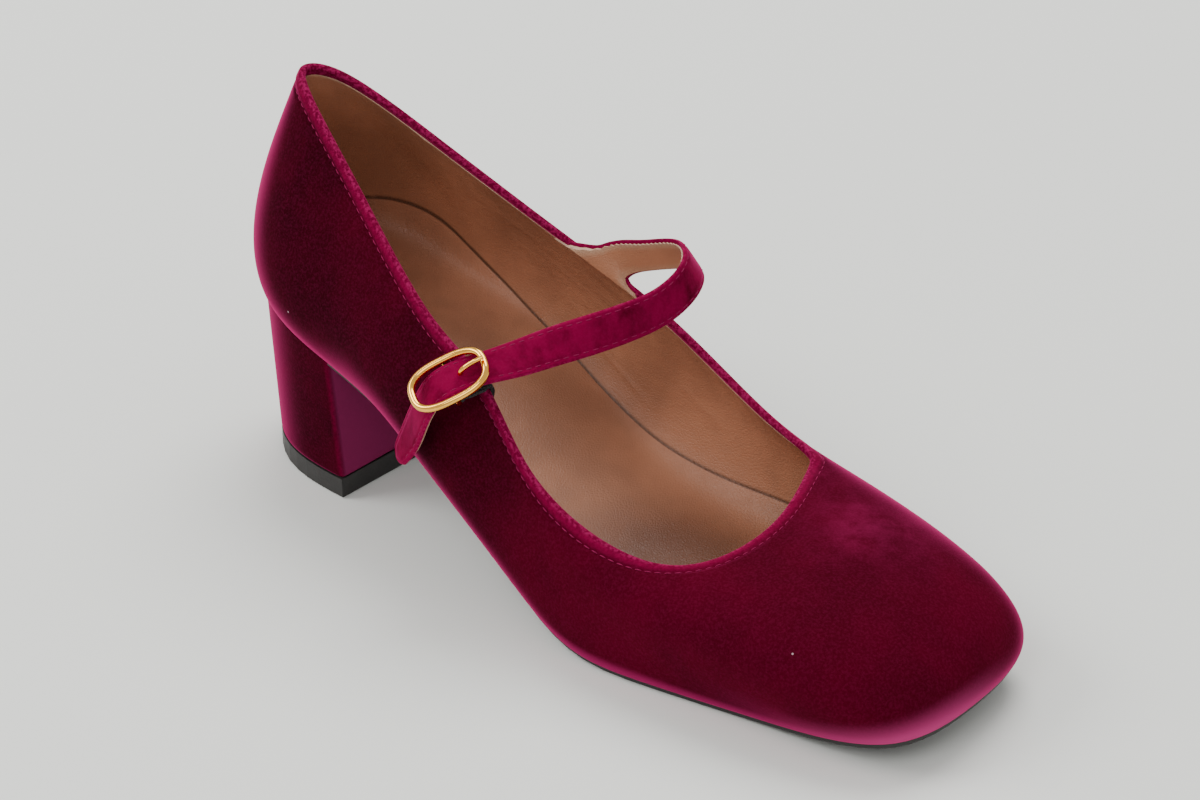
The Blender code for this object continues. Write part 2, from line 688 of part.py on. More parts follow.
def make_elastic():
    """A band that holds the buckle's bar, slotted for the prong and led over the topline into the shoe."""
    half = ELASTIC_WIDTH / 2
    slot = PRONG_WIRE / 2 + 2 * GAP
    stations = [elastic_station(w) for w in (-half, -(half + slot) / 2, -slot, slot, (half + slot) / 2, half)]
    cells = [(k, (k + 1) % 12, 12 + (k + 1) % 12, 12 + k) for k in range(12)]
    cells.append((12, 13, 25, 24))
    pairs = (len(stations[0]) - 24) // 2
    cells += [(24 + 2 * k, 25 + 2 * k, 27 + 2 * k, 26 + 2 * k) for k in range(pairs - 1)]
    everything = set(range(len(cells)))
    band = set(range(13, len(cells)))
    points, faces = cells_body(stations, cells, [everything, everything, band, everything, everything])
    mesh_object("elastic", points, faces, (0.012, 0.012, 0.013), 0.9)


def stand_on_floor():
    """Moves everything so that the origin is under the middle of the shoe, on the floor."""
    corners = []
    for piece in bpy.data.objects:
        if not piece.hide_render:
            corners += [tuple(vertex.co) for vertex in piece.data.vertices]
    low, high = np.min(corners, axis=0), np.max(corners, axis=0)
    move = Matrix.Translation((-(low[0] + high[0]) / 2, -(low[1] + high[1]) / 2, -low[2]))
    for piece in bpy.data.objects:
        piece.data.transform(move)


def main():
    for old in list(bpy.data.objects):
        bpy.data.objects.remove(old)
    make_upper()
    make_insole()
    make_outsole()
    make_heel()
    make_heel_tip()
    make_strap()
    make_buckle()
    make_prong()
    make_elastic()
    stand_on_floor()


main()
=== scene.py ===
"""Looks of a velvet Mary Jane pump with a block heel, right foot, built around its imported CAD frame.

The frame's nodes carry the shape. Each operator below makes one piece or group of like pieces over them: the
velvet upper with its leather lining, the footbed, the covered heel, the strap, the buckle and the stage.
"""

import math
from functools import lru_cache

import bmesh
import bpy
import numpy as np
from bpy.props import FloatProperty, FloatVectorProperty, PointerProperty
from bpy.types import Operator, Panel, PropertyGroup
from mathutils import Matrix, Vector


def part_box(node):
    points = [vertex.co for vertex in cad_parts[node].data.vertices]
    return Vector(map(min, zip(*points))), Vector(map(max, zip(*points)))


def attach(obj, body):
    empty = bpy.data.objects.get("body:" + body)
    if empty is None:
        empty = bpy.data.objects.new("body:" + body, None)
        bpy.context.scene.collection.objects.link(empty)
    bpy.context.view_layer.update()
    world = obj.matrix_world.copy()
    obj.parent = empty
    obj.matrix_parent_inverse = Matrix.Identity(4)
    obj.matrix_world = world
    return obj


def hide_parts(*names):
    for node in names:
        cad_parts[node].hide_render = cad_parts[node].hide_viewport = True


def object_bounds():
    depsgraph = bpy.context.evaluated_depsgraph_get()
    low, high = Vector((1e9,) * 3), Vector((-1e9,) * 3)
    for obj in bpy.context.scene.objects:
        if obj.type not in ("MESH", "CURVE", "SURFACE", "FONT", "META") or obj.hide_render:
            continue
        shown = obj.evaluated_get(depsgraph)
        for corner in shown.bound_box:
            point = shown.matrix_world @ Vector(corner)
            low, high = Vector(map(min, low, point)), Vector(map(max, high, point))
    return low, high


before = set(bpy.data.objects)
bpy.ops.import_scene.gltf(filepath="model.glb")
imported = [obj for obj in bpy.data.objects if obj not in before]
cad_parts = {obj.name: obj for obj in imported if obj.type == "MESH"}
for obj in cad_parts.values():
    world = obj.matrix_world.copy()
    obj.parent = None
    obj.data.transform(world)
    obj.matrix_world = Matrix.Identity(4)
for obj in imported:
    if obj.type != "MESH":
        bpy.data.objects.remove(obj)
CAD_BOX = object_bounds()

bl_info = {
    "name": "Velvet Mary Jane pump",
    "version": (1, 0, 0),
    "blender": (4, 5, 0),
    "location": "3D View > Sidebar > Pump",
    "description": "Dresses the packed frame of a block heel pump in velvet, leather and polished metal",
    "category": "Object",
}

# Driving sizes of the last, as in the part's own source
LENGTH = 0.248
BALL_WIDTH = 0.084
HEEL_HEIGHT = 0.048
TOE_SPRING = 0.009
COLLAR_HEIGHT = 0.058
WALL = 0.0020
RIM_ROUND = 0.0007
INSOLE_THICKNESS = 0.0035
HEEL_CUP = 0.0015
SOLE_THICKNESS = 0.0022
BREAST_TOP = 0.0455
BREAST_LEAN = 0.0040
HEEL_INSET = 0.0008
HEEL_BACK_LEAN = 0.0028
HEEL_FOOT_WIDTH = 0.0548
TIP_THICKNESS = 0.0060
STRAP_WIDTH = 0.0104
STRAP_THICKNESS = 0.0018
STRAP_REACH = 0.030
STRAP_RISE = 0.015
TAIL_DROP = 0.030
BUCKLE_STANDOFF = 0.009
BUCKLE_LENGTH = 0.0204
BUCKLE_SIDE = 0.0014
BUCKLE_WIRE = 0.0020
BAR_WIRE = 0.0014
PRONG_WIRE = 0.0013
RING_LIFT = 0.0005
BAR_DEPTH = -0.0032
PRONG_FOOT = -0.0021
PRONG_HOLE = -0.0031
PRONG_LEAN = -0.0007
GAP = 0.0003
SOLE_GAP = 0.0004
STEPS = 6
ROWS = (0.0, 0.05, 0.12, 0.21, 0.32, 0.44, 0.56, 0.68, 0.79, 0.89, 0.96, 1.0)

# How the skin is read: the step for its normals in places and shares, the share under which they turn level,
# and the share near a rib's top that gives the way up there
NEAR_STEP = 0.02
LEVEL_SHARE = 0.15
NEAR_TOP = 0.97

# The bottom of the foot in side view: share of LENGTH from the back, share of HEEL_HEIGHT above the ball
BOTTOM = (
    (0.00, 0.990),
    (0.06, 1.000),
    (0.14, 0.905),
    (0.22, 0.790),
    (0.30, 0.650),
    (0.38, 0.455),
    (0.46, 0.248),
    (0.54, 0.090),
    (0.61, 0.012),
    (0.66, 0.000),
    (0.72, 0.000),
)
TOE_START = 0.74

# Ribs of the upper, in order from the back along the outer side to the toe and home along the inner side.
# Each rib is a cubic curve: foot on the sole's edge, low handle, high handle, top on the topline.
# x columns are shares of LENGTH and y columns shares of half of BALL_WIDTH, from the back and the centre
# line. z columns are shares of COLLAR_HEIGHT, from the bottom of the foot. Handles count from their own end.
RIBS = (
    # name, foot x, foot y, low x, low y, low z, high x, high y, high z, top x, top y, top z
    ("back", 0.012, 0.00, -0.035, 0.00, 0.28, -0.026, 0.00, -0.31, 0.050, 0.00, 1.00),
    ("outer heel", 0.073, -0.55, -0.009, -0.15, 0.27, -0.010, -0.18, -0.27, 0.084, -0.18, 0.98),
    ("outer seat", 0.190, -0.67, 0.003, -0.21, 0.25, 0.001, -0.18, -0.21, 0.192, -0.39, 0.86),
    ("outer waist", 0.330, -0.70, -0.002, -0.33, 0.16, -0.001, -0.20, -0.18, 0.341, -0.64, 0.73),
    ("outer shank", 0.473, -0.83, -0.002, -0.25, 0.15, 0.000, -0.10, -0.21, 0.433, -0.73, 0.76),
    ("outer ball", 0.610, -0.97, 0.005, -0.06, 0.17, 0.005, -0.14, -0.21, 0.515, -0.82, 0.62),
    ("outer toe", 0.801, -0.76, 0.009, -0.15, 0.24, 0.003, -0.32, -0.14, 0.634, -0.80, 0.55),
    ("outer corner", 0.965, -0.55, 0.015, -0.17, 0.27, 0.113, -0.18, 0.06, 0.713, -0.50, 0.54),
    ("toe", 0.988, 0.06, 0.019, 0.00, 0.28, 0.139, 0.00, 0.11, 0.727, 0.02, 0.59),
    ("inner corner", 0.955, 0.70, 0.028, 0.10, 0.26, 0.141, 0.11, 0.02, 0.698, 0.51, 0.62),
    ("inner toe", 0.866, 0.82, 0.011, 0.13, 0.25, 0.042, 0.24, -0.12, 0.675, 0.70, 0.63),
    ("inner ball", 0.700, 0.91, 0.000, 0.19, 0.17, 0.000, 0.20, -0.18, 0.603, 0.77, 0.67),
    ("inner shank", 0.499, 0.63, 0.000, 0.34, 0.17, -0.001, 0.19, -0.21, 0.472, 0.75, 0.77),
    ("inner waist", 0.330, 0.68, -0.002, 0.33, 0.16, -0.001, 0.21, -0.18, 0.340, 0.62, 0.75),
    ("inner seat", 0.190, 0.67, 0.003, 0.21, 0.25, 0.001, 0.18, -0.21, 0.192, 0.39, 0.86),
    ("inner heel", 0.073, 0.55, -0.009, 0.15, 0.27, -0.010, 0.18, -0.27, 0.084, 0.18, 0.98),
)
TOE_RIB = 8

# Where the strap rises from the topline and where the elastic crosses it, as places round the ribs
ROOT_PLACE = 12.66
BUCKLE_PLACE = 3.95

# Stations of the strap's middle line after its root, up to the tail's tip.
# across: share of the way from the root to the buckle's place. ahead, above, out and hang: shares of
# STRAP_REACH, STRAP_RISE, BUCKLE_STANDOFF and TAIL_DROP. tilt and yaw: degrees that the width dips and turns
# inward from ahead.
STRAP = (
    # name, across, ahead, above, out, hang, tilt, yaw, wide as a share of STRAP_WIDTH
    ("fillet", -0.002, 0.125, 0.231, 0.00, 0.000, 36, 18, 1.32),
    ("stem", -0.032, 0.356, 0.381, 0.00, 0.000, 52, 36, 1.06),
    ("rise", -0.054, 0.630, 0.566, 0.00, 0.000, 58, 41, 1.00),
    ("shoulder", -0.048, 0.888, 0.755, 0.00, 0.000, 59, 41, 1.00),
    ("bend", 0.018, 1.068, 0.851, 0.00, 0.000, 60, 41, 1.00),
    ("crown", 0.134, 1.154, 0.810, 0.00, 0.000, 65, 42, 1.00),
    ("inner instep", 0.273, 1.075, 0.631, 0.00, 0.000, 66, 35, 1.00),
    ("instep", 0.422, 0.876, 0.488, 0.00, 0.000, 62, 15, 1.00),
    ("outer instep", 0.552, 0.637, 0.353, 0.00, 0.000, 56, -5, 1.00),
    ("approach", 0.693, 0.407, 0.267, 0.00, 0.000, 44, -20, 1.00),
    ("over rim", 0.859, 0.209, 0.244, 0.00, 0.000, 30, -26, 1.00),
    ("entry", 1.000, 0.026, 0.229, 0.18, 0.000, 21, -29, 0.98),
    ("buckle", 1.000, -0.165, -0.168, 1.08, 0.000, 20, -29, 0.98),
    ("exit", 1.000, -0.323, 0.000, 1.35, 0.378, 22, -28, 0.98),
    ("tail", 1.000, -0.483, 0.000, 1.33, 0.709, 23, -26, 0.96),
    ("tip", 1.000, -0.644, 0.000, 1.37, 1.001, 23, -27, 0.66),
)
ROOT_WIDE = 1.75
BUCKLE_STATION = 12.72


def natural_spline(knots, values, at):
    """A smooth curve through the values at their knots, read at other places."""
    knots = np.asarray(knots, float)
    values = np.asarray(values, float)
    flat = values.reshape(len(knots), -1)
    count = len(knots)
    steps = np.diff(knots)
    matrix = np.eye(count)
    right = np.zeros_like(flat)
    for i in range(1, count - 1):
        matrix[i, i - 1] = steps[i - 1]
        matrix[i, i] = 2 * (steps[i - 1] + steps[i])
        matrix[i, i + 1] = steps[i]
        right[i] = 6 * ((flat[i + 1] - flat[i]) / steps[i] - (flat[i] - flat[i - 1]) / steps[i - 1])
    bend = np.linalg.solve(matrix, right)
    at = np.clip(np.atleast_1d(np.asarray(at, float)), knots[0], knots[-1])
    k = np.clip(np.searchsorted(knots, at) - 1, 0, count - 2)
    t = (at - knots[k])[:, None]
    h = steps[k][:, None]
    slope = (flat[k + 1] - flat[k]) / h - h * (2 * bend[k] + bend[k + 1]) / 6
    found = flat[k] + t * slope + t**2 * bend[k] / 2 + t**3 * (bend[k + 1] - bend[k]) / (6 * h)
    return found.reshape((len(at),) + values.shape[1:])


def walk(points):
    """How far along a line each of its points lies."""
    steps = np.linalg.norm(np.diff(points, axis=0), axis=-1)
    return np.concatenate([np.zeros_like(steps[:1]), np.cumsum(steps, axis=0)])


def read_line(at, knots, line):
    """A line of points, read at other places along its knots."""
    return np.stack([np.interp(at, knots, column) for column in np.transpose(line)], axis=1)


def bottom(x):
    """Height of the foot's bottom above the floor, at a distance from the back."""
    share = np.atleast_1d(np.asarray(x, float)) / LENGTH
    table = np.array(BOTTOM)
    arch = HEEL_HEIGHT * np.maximum(natural_spline(table[:, 0], table[:, 1], share), 0)
    toe = TOE_SPRING * ((share - TOE_START) / (1 - TOE_START)) ** 2
    height = np.where(share < BOTTOM[-2][0], arch, np.where(share > TOE_START, toe, 0))
    return height + SOLE_THICKNESS


@lru_cache
def rib_controls():
    """The four control points of each rib, in metres."""
    half = BALL_WIDTH / 2
    rows = []
    for _, fx, fy, lx, ly, lz, hx, hy, hz, tx, ty, tz in RIBS:
        foot = np.array([fx * LENGTH, fy * half, bottom(fx * LENGTH)[0]])
        low = foot + (lx * LENGTH, ly * half, lz * COLLAR_HEIGHT)
        top = np.array([tx * LENGTH, ty * half, bottom(tx * LENGTH)[0] + tz * COLLAR_HEIGHT])
        high = top + (hx * LENGTH, hy * half, hz * COLLAR_HEIGHT)
        rows.append((foot, low, high, top))
    return np.array(rows)


def ribs_at(places):
    """Control points between the ribs, with each foot on the bottom. Place 0 is the back, TOE_RIB the toe."""
    controls = rib_controls()
    count = len(controls)
    around = np.concatenate([controls, controls, controls, controls[:1]])
    chords = np.linalg.norm(np.diff(around.reshape(len(around), -1), axis=0), axis=1)
    knots = np.concatenate([[0], np.cumsum(np.sqrt(chords))])
    wanted = np.atleast_1d(np.asarray(places, float)) % count + count
    found = natural_spline(knots, around, np.interp(wanted, np.arange(len(knots)), knots))
    sag = bottom(found[:, 0, 0]) - found[:, 0, 2]
    found[:, :2, 2] += sag[:, None]
    return found


def along_rib(controls, share):
    """Points of ribs at a share of the way from foot to top."""
    s = share
    return (
        (1 - s) ** 3 * controls[..., 0, :]
        + 3 * (1 - s) ** 2 * s * controls[..., 1, :]
        + 3 * (1 - s) * s**2 * controls[..., 2, :]
        + s**3 * controls[..., 3, :]
    )


def outer_at(places, share):
    """Points of the upper's outer side at a share of each place's rib."""
    return along_rib(ribs_at(places), share)


def outward_at(places, share):
    """Unit normals of the upper's outer side, level at the sole's edge, where the wall is cut off flat."""
    low, high = max(share - NEAR_STEP, 0), min(share + NEAR_STEP, 1)
    around = outer_at(np.asarray(places) - NEAR_STEP, share) - outer_at(np.asarray(places) + NEAR_STEP, share)
    up = outer_at(places, high) - outer_at(places, low)
    normal = np.cross(up, around)
    normal /= np.linalg.norm(normal, axis=1, keepdims=True)
    normal[:, 2] *= min(share / LEVEL_SHARE, 1)
    return normal / np.linalg.norm(normal, axis=1, keepdims=True)


def inner_at(places, share):
    """Points of the upper's inner side."""
    return outer_at(places, share) - outward_at(places, share) * WALL


def unit(vectors):
    """Vectors made one metre long."""
    return vectors / np.linalg.norm(vectors, axis=-1, keepdims=True)


def rim_at(places):
    """The middle of the wall at the topline, and the way up there."""
    up = unit(outer_at(places, 1) - outer_at(places, NEAR_TOP))
    middle = (outer_at(places, 1) + inner_at(places, 1)) / 2
    return middle, up


@lru_cache
def strap_stations():
    """Positions, width directions and half widths of the strap at its root and its stations."""
    middle, up = rim_at([ROOT_PLACE])
    start = middle[0] + up[0] * (RIM_ROUND + SOLE_GAP)
    ahead = unit(outer_at([ROOT_PLACE - 0.2], 1) - outer_at([ROOT_PLACE + 0.2], 1))[0]
    root = outer_at([ROOT_PLACE], 1)[0]
    side = outer_at([BUCKLE_PLACE], 1)[0]
    away = outward_at([BUCKLE_PLACE], 1)[0]
    spots, widths, halves = [start], [ahead], [ROOT_WIDE * STRAP_WIDTH / 2]
    for _, across_share, forward, above, out, hang, tilt, yaw, wide in STRAP:
        spot = root + across_share * (side - root) + out * BUCKLE_STANDOFF * away
        spot = spot + (forward * STRAP_REACH, 0, above * STRAP_RISE - hang * TAIL_DROP)
        dip, turn = math.radians(tilt), math.radians(yaw)
        spots.append(spot)
        widths.append((math.cos(dip) * math.cos(turn), math.cos(dip) * math.sin(turn), -math.sin(dip)))
        halves.append(wide * STRAP_WIDTH / 2)
    return np.array(spots), np.array(widths), np.array(halves)


def strap_at(stations):
    """The strap's middle line with its ways along, across and out, and its half width."""
    spots, widths, halves = strap_stations()
    knots = walk(spots)
    wanted = np.interp(stations, np.arange(len(knots)), knots)
    step = knots[-1] / 400
    middle = natural_spline(knots, spots, wanted)
    along = unit(natural_spline(knots, spots, wanted + step) - natural_spline(knots, spots, wanted - step))
    width = natural_spline(knots, widths, wanted)
    width = unit(width - along * (width * along).sum(axis=1, keepdims=True))
    out = np.cross(along, width)
    root = np.clip(1 - np.asarray(stations), 0, 1)[:, None]
    width = unit(width + root * (widths[0] - width))
    out = out + root * (outward_at([ROOT_PLACE], 1) - out)
    out = unit(out - width * (out * width).sum(axis=1, keepdims=True))
    return middle, along, width, out, natural_spline(knots, halves, wanted)


def buckle_point(t, w, n):
    """A point of the buckle: t along the strap to its tail, w across it, n out of it."""
    middle, along, width, out, _ = strap_at([BUCKLE_STATION])
    return middle[0] + along[0] * t + width[0] * w + out[0] * n


def place_of(x):
    """Where the sole's edge on the outer side passes a distance from the back."""
    low, high = 0.0, float(TOE_RIB)
    for _ in range(40):
        middle = (low + high) / 2
        if outer_at([middle], 0)[0][0] < x:
            low = middle
        else:
            high = middle
    return (low + high) / 2


def edge_in(places, inset, drop):
    """The sole's edge moved in level, and lowered below the foot's bottom."""
    points = outer_at(places, 0) - outward_at(places, 0) * inset
    points[:, 2] = bottom(points[:, 0]) - drop
    return points


def own_shift():
    """The way from the tables' place to the frame's, which stands centred on the floor."""
    places = np.arange(len(RIBS) * STEPS) / STEPS
    skin = np.concatenate([outer_at(places, share) for share in ROWS])
    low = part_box("upper")[0]
    return np.array([low[0] - skin[:, 0].min(), low[1] - skin[:, 1].min(), 0.0])


SHIFT = own_shift()

# How finely the upper, its lining and the footbed are laid out around the shoe
AROUND = 432
PLACES = np.arange(AROUND) * len(RIBS) / AROUND

# Soft creases of the velvet: a name, the start and end as place and share, the width and the depth in metres
CREASES = (
    ("outer flex", (5.35, 0.72), (6.35, 0.30), 0.0050, -0.00045),
    ("outer flex behind", (4.75, 0.78), (5.55, 0.34), 0.0045, -0.00030),
    ("inner flex", (11.05, 0.78), (10.15, 0.36), 0.0055, -0.00045),
    ("inner flex behind", (11.75, 0.76), (10.95, 0.34), 0.0045, -0.00030),
    ("vamp hollow", (7.15, 0.80), (8.90, 0.78), 0.0070, -0.00035),
    ("counter edge outside", (2.35, 0.10), (2.75, 0.80), 0.0060, 0.00025),
    ("counter edge inside", (13.65, 0.10), (13.25, 0.80), 0.0060, 0.00025),
    ("toe puff edge", (6.9, 0.42), (9.2, 0.40), 0.0060, 0.00025),
    ("under the buckle", (3.6, 0.86), (4.5, 0.55), 0.0050, -0.00035),
)

# Soft folds of the lining, in the same form
LINING_FOLDS = (
    ("arch fold high", (13.9, 0.66), (12.3, 0.62), 0.0016, -0.00030),
    ("arch fold low", (13.7, 0.50), (12.5, 0.44), 0.0015, -0.00026),
    ("arch fold short", (13.2, 0.36), (12.6, 0.30), 0.0012, -0.00022),
    ("arch fold middle", (13.45, 0.56), (12.75, 0.52), 0.0010, -0.00018),
    ("arch fold small", (13.05, 0.44), (12.55, 0.40), 0.0009, -0.00016),
    ("arch fold lower", (12.95, 0.26), (12.35, 0.24), 0.0010, -0.00018),
    ("ball fold", (12.2, 0.52), (11.7, 0.46), 0.0012, -0.00018),
    ("under the root", (13.0, 0.86), (12.2, 0.72), 0.0016, -0.00024),
    ("quarter fold", (2.6, 0.60), (3.6, 0.52), 0.0018, -0.00026),
)

# The lining's quarter seams, as the places where they climb the wall
QUARTER_SEAMS = (14.09, 1.9)

# The footbed's edge on the wall: places around the shoe and shares of the wall's height
FOOTBED_EDGE = (
    (0.0, 0.15),
    (1.0, 0.15),
    (2.0, 0.12),
    (3.3, 0.10),
    (5.0, 0.12),
    (6.5, 0.14),
    (8.0, 0.12),
    (9.5, 0.14),
    (10.8, 0.22),
    (11.4, 0.26),
    (11.7, 0.20),
    (12.2, 0.12),
    (12.8, 0.065),
    (13.4, 0.08),
    (14.4, 0.26),
    (15.2, 0.20),
    (16.0, 0.15),
)


# The hidden backs of the velvet and of the lining, as depths in the wall, and how the lining lies on the fold
VELVET_BACK = 0.0009
LINING_BACK = 0.0012
LINING_BED = 0.00002
LINING_OVERLAP = 0.0005
LINING_TUCK = 0.995

# Relief along the topline, as height and width: the dent under its stitches, and the swell of its roll
STITCH_DENT = (0.00030, 0.0006)
ROLL_SWELL = (0.00014, 0.0009)
STITCH_BED = 0.00018

# A quarter seam: its ridge as height and width, the leather's step, and where the step starts and fades out
SEAM_RIDGE = (0.00022, 0.0004)
SEAM_STEP = 0.00016
SEAM_START = 0.0012
SEAM_FADE = 0.008

# The footbed: its lift off the lining at its edge and lower down, the ends of the line that its rings close
# on, how often they are evened out, and the dark line above its edge as height and width. RIB_LENGTH is about
# how long a rib is, and turns shares into metres.
FOOTBED_LIFT = 0.0004
FOOTBED_FILL = 0.0006
FOOTBED_HEEL_END = 0.034
FOOTBED_TOE_END = 0.046
FOOTBED_SOFTENING = 110
FOOTBED_LINE = (0.0002, 0.0005)
RIB_LENGTH = 0.055

# The heel cover's rounded foot, as insets with shares of its height
HEEL_ROUND = ((0.0014, 0.0), (0.0005, 0.002), (0.0001, 0.010), (0.0, 0.022))

# The strap: how it goes on below the topline, how wide its root flares, and how its back edge is cut in there
HALF_STRAP = STRAP_THICKNESS / 2
LAST_STATION = float(len(STRAP))
ROOT_DEPTH = 0.0060
ROOT_FLARE = 0.0034
FLARE_END = 0.75
ROOT_CUT = (0.34, 0.85)
TIP_ROUND = 0.0030
STRAP_GROOVE = (0.00016, 0.00045)
PINKING = 0.0015
PINKING_DEPTH = 0.00040
LINING_MARGIN = 0.0010
STITCH_CLEAR = 0.0022

# How square the buckle's ring is, from 1 as an ellipse to 0 as a box
RING_ROUND = 0.72

# Spots of the finishes: a place in the frame and how far it reaches
# Painted sheen along the toe's lower edge: a spot and its reach
TOE_SHEEN_SPOT = ((0.1180, -0.012, 0.012), 0.045)
# Brushed pile at the inner shoulder, partly painted sheen: spots and their reaches
BRUSHED_SHEEN_SPOTS = (((0.0470, 0.031, 0.044), 0.024), ((0.0800, 0.018, 0.039), 0.028))
LINT_SPOTS = (((0.0909, -0.0283, 0.0278), 0.0005), ((-0.0883, -0.0273, 0.0539), 0.0005))
LINT_COLOUR = (0.62, 0.45, 0.50)
# Painted shadow under the vamp: its spot and reach, and the shares of the leather's colour there
VAMP_SHADOW_SPOT = ((0.0270, 0.002, 0.012), 0.046)
VAMP_SHADOW_SHARES = (0.24, 0.17, 0.12)
HEEL_RING = ((-0.1077, 0.0190, 0.0600), 0.0085)
TIP_RUBBER = (0.016, 0.0145, 0.0135)
SOLE_RUBBER = (0.0105, 0.0095, 0.0090)
ELASTIC_COLOUR = (0.0085, 0.0080, 0.0085)

# The stage: the camera's place, its way up and how far below the middle it aims, the floor and the lamps
EYE = (0.6488, -0.6799, 0.6272)
CAMERA_UP = (-0.3555, 0.3927, 0.8482)
AIM_DROP = 0.004
SENSOR_WIDTH = 36.0
FLOOR_SIZE = 60.0
LAMP_AIM = (0, 0, 0.03)
LAMPS = (
    # name, place, width, share of the key's power
    ("key", (-0.45, 0.85, 1.65), 1.3, 0.85),
    ("side", (-1.2, -0.9, 1.3), 1.0, 0.60),
    ("front", (0.5, -1.3, 1.5), 1.0, 0.30),
)


def wall_grid(places, shares, depth=0.0):
    """Points at shares of each place's rib, moved inward by a depth, with the ways outward."""
    shares = np.asarray(shares, float)
    if shares.ndim == 1:
        shares = np.repeat(shares[:, None], len(places), axis=1)
    controls = ribs_at(places)
    column = shares[..., None]
    skin = along_rib(controls[None], column)
    before = along_rib(ribs_at(np.asarray(places) - NEAR_STEP)[None], column)
    after = along_rib(ribs_at(np.asarray(places) + NEAR_STEP)[None], column)
    high = along_rib(controls[None], np.minimum(column + NEAR_STEP, 1))
    low = along_rib(controls[None], np.maximum(column - NEAR_STEP, 0))
    away = unit(np.cross(high - low, before - after))
    away[..., 2] *= np.minimum(shares / LEVEL_SHARE, 1)
    away = unit(away)
    return skin - away * depth, away


def wall_ring(share, depth):
    """One ring of points around the wall, at a share of each place's rib and a depth in the wall."""
    return wall_grid(PLACES, share[None], depth)[0][0]


def share_below_top(places, length):
    """The share of each rib that lies a length of wall below its top."""
    shares = np.linspace(0, 1, 121)
    skin, _ = wall_grid(places, shares)
    return np.array([np.interp(column[-1] - length, column, shares) for column in walk(skin).T])


def softened(ring, passes):
    """A closed ring of values or points, evened out between neighbours."""
    for _ in range(passes):
        ring = (np.roll(ring, 1, axis=0) + 2 * ring + np.roll(ring, -1, axis=0)) / 4
    return ring


def footbed_edge():
    """The share of the wall's height that the footbed climbs at each place."""
    table = np.array(FOOTBED_EDGE)
    return softened(np.interp(PLACES, table[:, 0], table[:, 1]), 40)


def bell(values, width):
    """A soft bump around zero."""
    return np.exp(-((values / width) ** 2))


def smooth_step(low, high, values):
    """Zero up to one value, one from another on, and smooth between them."""
    t = np.clip((np.asarray(values, float) - low) / (high - low), 0, 1)
    return t * t * (3 - 2 * t)


def crease_relief(points, table):
    """How far soft creases move a surface's points outward."""
    relief = np.zeros(points.shape[:-1])
    for _, start, end, width, depth in table:
        a = outer_at([start[0]], start[1])[0]
        b = outer_at([end[0]], end[1])[0]
        way = b - a
        t = np.clip(((points - a) @ way) / (way @ way), 0, 1)
        miss = np.linalg.norm(points - (a + t[..., None] * way), axis=-1)
        taper = np.sin(np.pi * np.clip(0.08 + 0.84 * t, 0, 1))
        relief += depth * taper * bell(miss, width)
    return relief


def grid_faces(rows, columns, rows_closed):
    """Quads of a grid whose columns close around, and whose rows close where told."""
    faces = []
    for j in range(rows if rows_closed else rows - 1):
        k = (j + 1) % rows
        for i in range(columns):
            n = (i + 1) % columns
            faces.append((j * columns + i, j * columns + n, k * columns + n, k * columns + i))
    return faces


def tube_faces(rings, size):
    """Quads along a tube of rings, with one face across each end."""
    last = (rings - 1) * size
    ends = [tuple(range(size)), tuple(last + i for i in reversed(range(size)))]
    return grid_faces(rings, size, False) + ends


def solid(name, points, faces, marks=None, sharp=None, merge=0.0):
    """A mesh piece in the frame, with its faces out and a number for each point in each mark."""
    points = np.asarray(points, float).reshape(-1, 3) + SHIFT
    mesh = bpy.data.meshes.new(name)
    mesh.from_pydata(points.tolist(), [], faces)
    for mark, values in (marks or {}).items():
        layer = mesh.attributes.new(mark, "FLOAT", "POINT")
        layer.data.foreach_set("value", np.asarray(values, np.float32).ravel())
    build = bmesh.new()
    build.from_mesh(mesh)
    if merge:
        bmesh.ops.remove_doubles(build, verts=build.verts, dist=merge)
    bmesh.ops.recalc_face_normals(build, faces=build.faces)
    build.to_mesh(mesh)
    build.free()
    mesh.shade_smooth()
    if sharp:
        mesh.set_sharp_from_angle(angle=math.radians(sharp))
    piece = bpy.data.objects.new(name, mesh)
    bpy.context.scene.collection.objects.link(piece)
    return piece


def dressed(piece, finish, slot, *nodes):
    """Gives a finished piece its material and its place on the frame."""
    piece.data.materials.clear()
    piece.data.materials.append(finish)
    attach(piece, "root")
    if nodes:
        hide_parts(*nodes)


def node_finish(name, finish):
    """Gives a node of the frame its material and leaves its shape alone."""
    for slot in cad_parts[name].material_slots:
        slot.material = finish


def applied(piece, kind, **settings):
    """Adds a modifier and applies it at once."""
    bpy.ops.object.select_all(action="DESELECT")
    piece.select_set(True)
    bpy.context.view_layer.objects.active = piece
    modifier = piece.modifiers.new(kind.lower(), kind)
    for key, value in settings.items():
        setattr(modifier, key, value)
    bpy.ops.object.modifier_apply(modifier=modifier.name)


def shaded(colour, share, lift=0.0):
    """A colour made darker or lighter by a share, and lifted."""
    return tuple(min(c * share + lift, 1) for c in colour)


class Value:
    """A socket of a material's tree in an expression."""

    def __init__(self, finish, socket):
        self.finish = finish
        self.socket = socket

    def maths(self, operation, first, second):
        return self.finish.node("ShaderNodeMath", {"operation": operation}, {0: first, 1: second})

    def __add__(self, other):
        return self.maths("ADD", self, other)

    __radd__ = __add__

    def __sub__(self, other):
        return self.maths("SUBTRACT", self, other)

    def __rsub__(self, other):
        return self.maths("SUBTRACT", other, self)

    def __mul__(self, other):
        return self.maths("MULTIPLY", self, other)

    __rmul__ = __mul__

    def at_least(self, other):
        return self.maths("MAXIMUM", self, other)

    def ramp(self, low, high, to_low=0.0, to_high=1.0):
        """A smooth change from one number to another as this value goes from low to high."""
        settings = {"interpolation_type": "SMOOTHSTEP"}
        inputs = {"Value": self, "From Min": low, "From Max": high, "To Min": to_low, "To Max": to_high}
        return self.finish.node("ShaderNodeMapRange", settings, inputs)


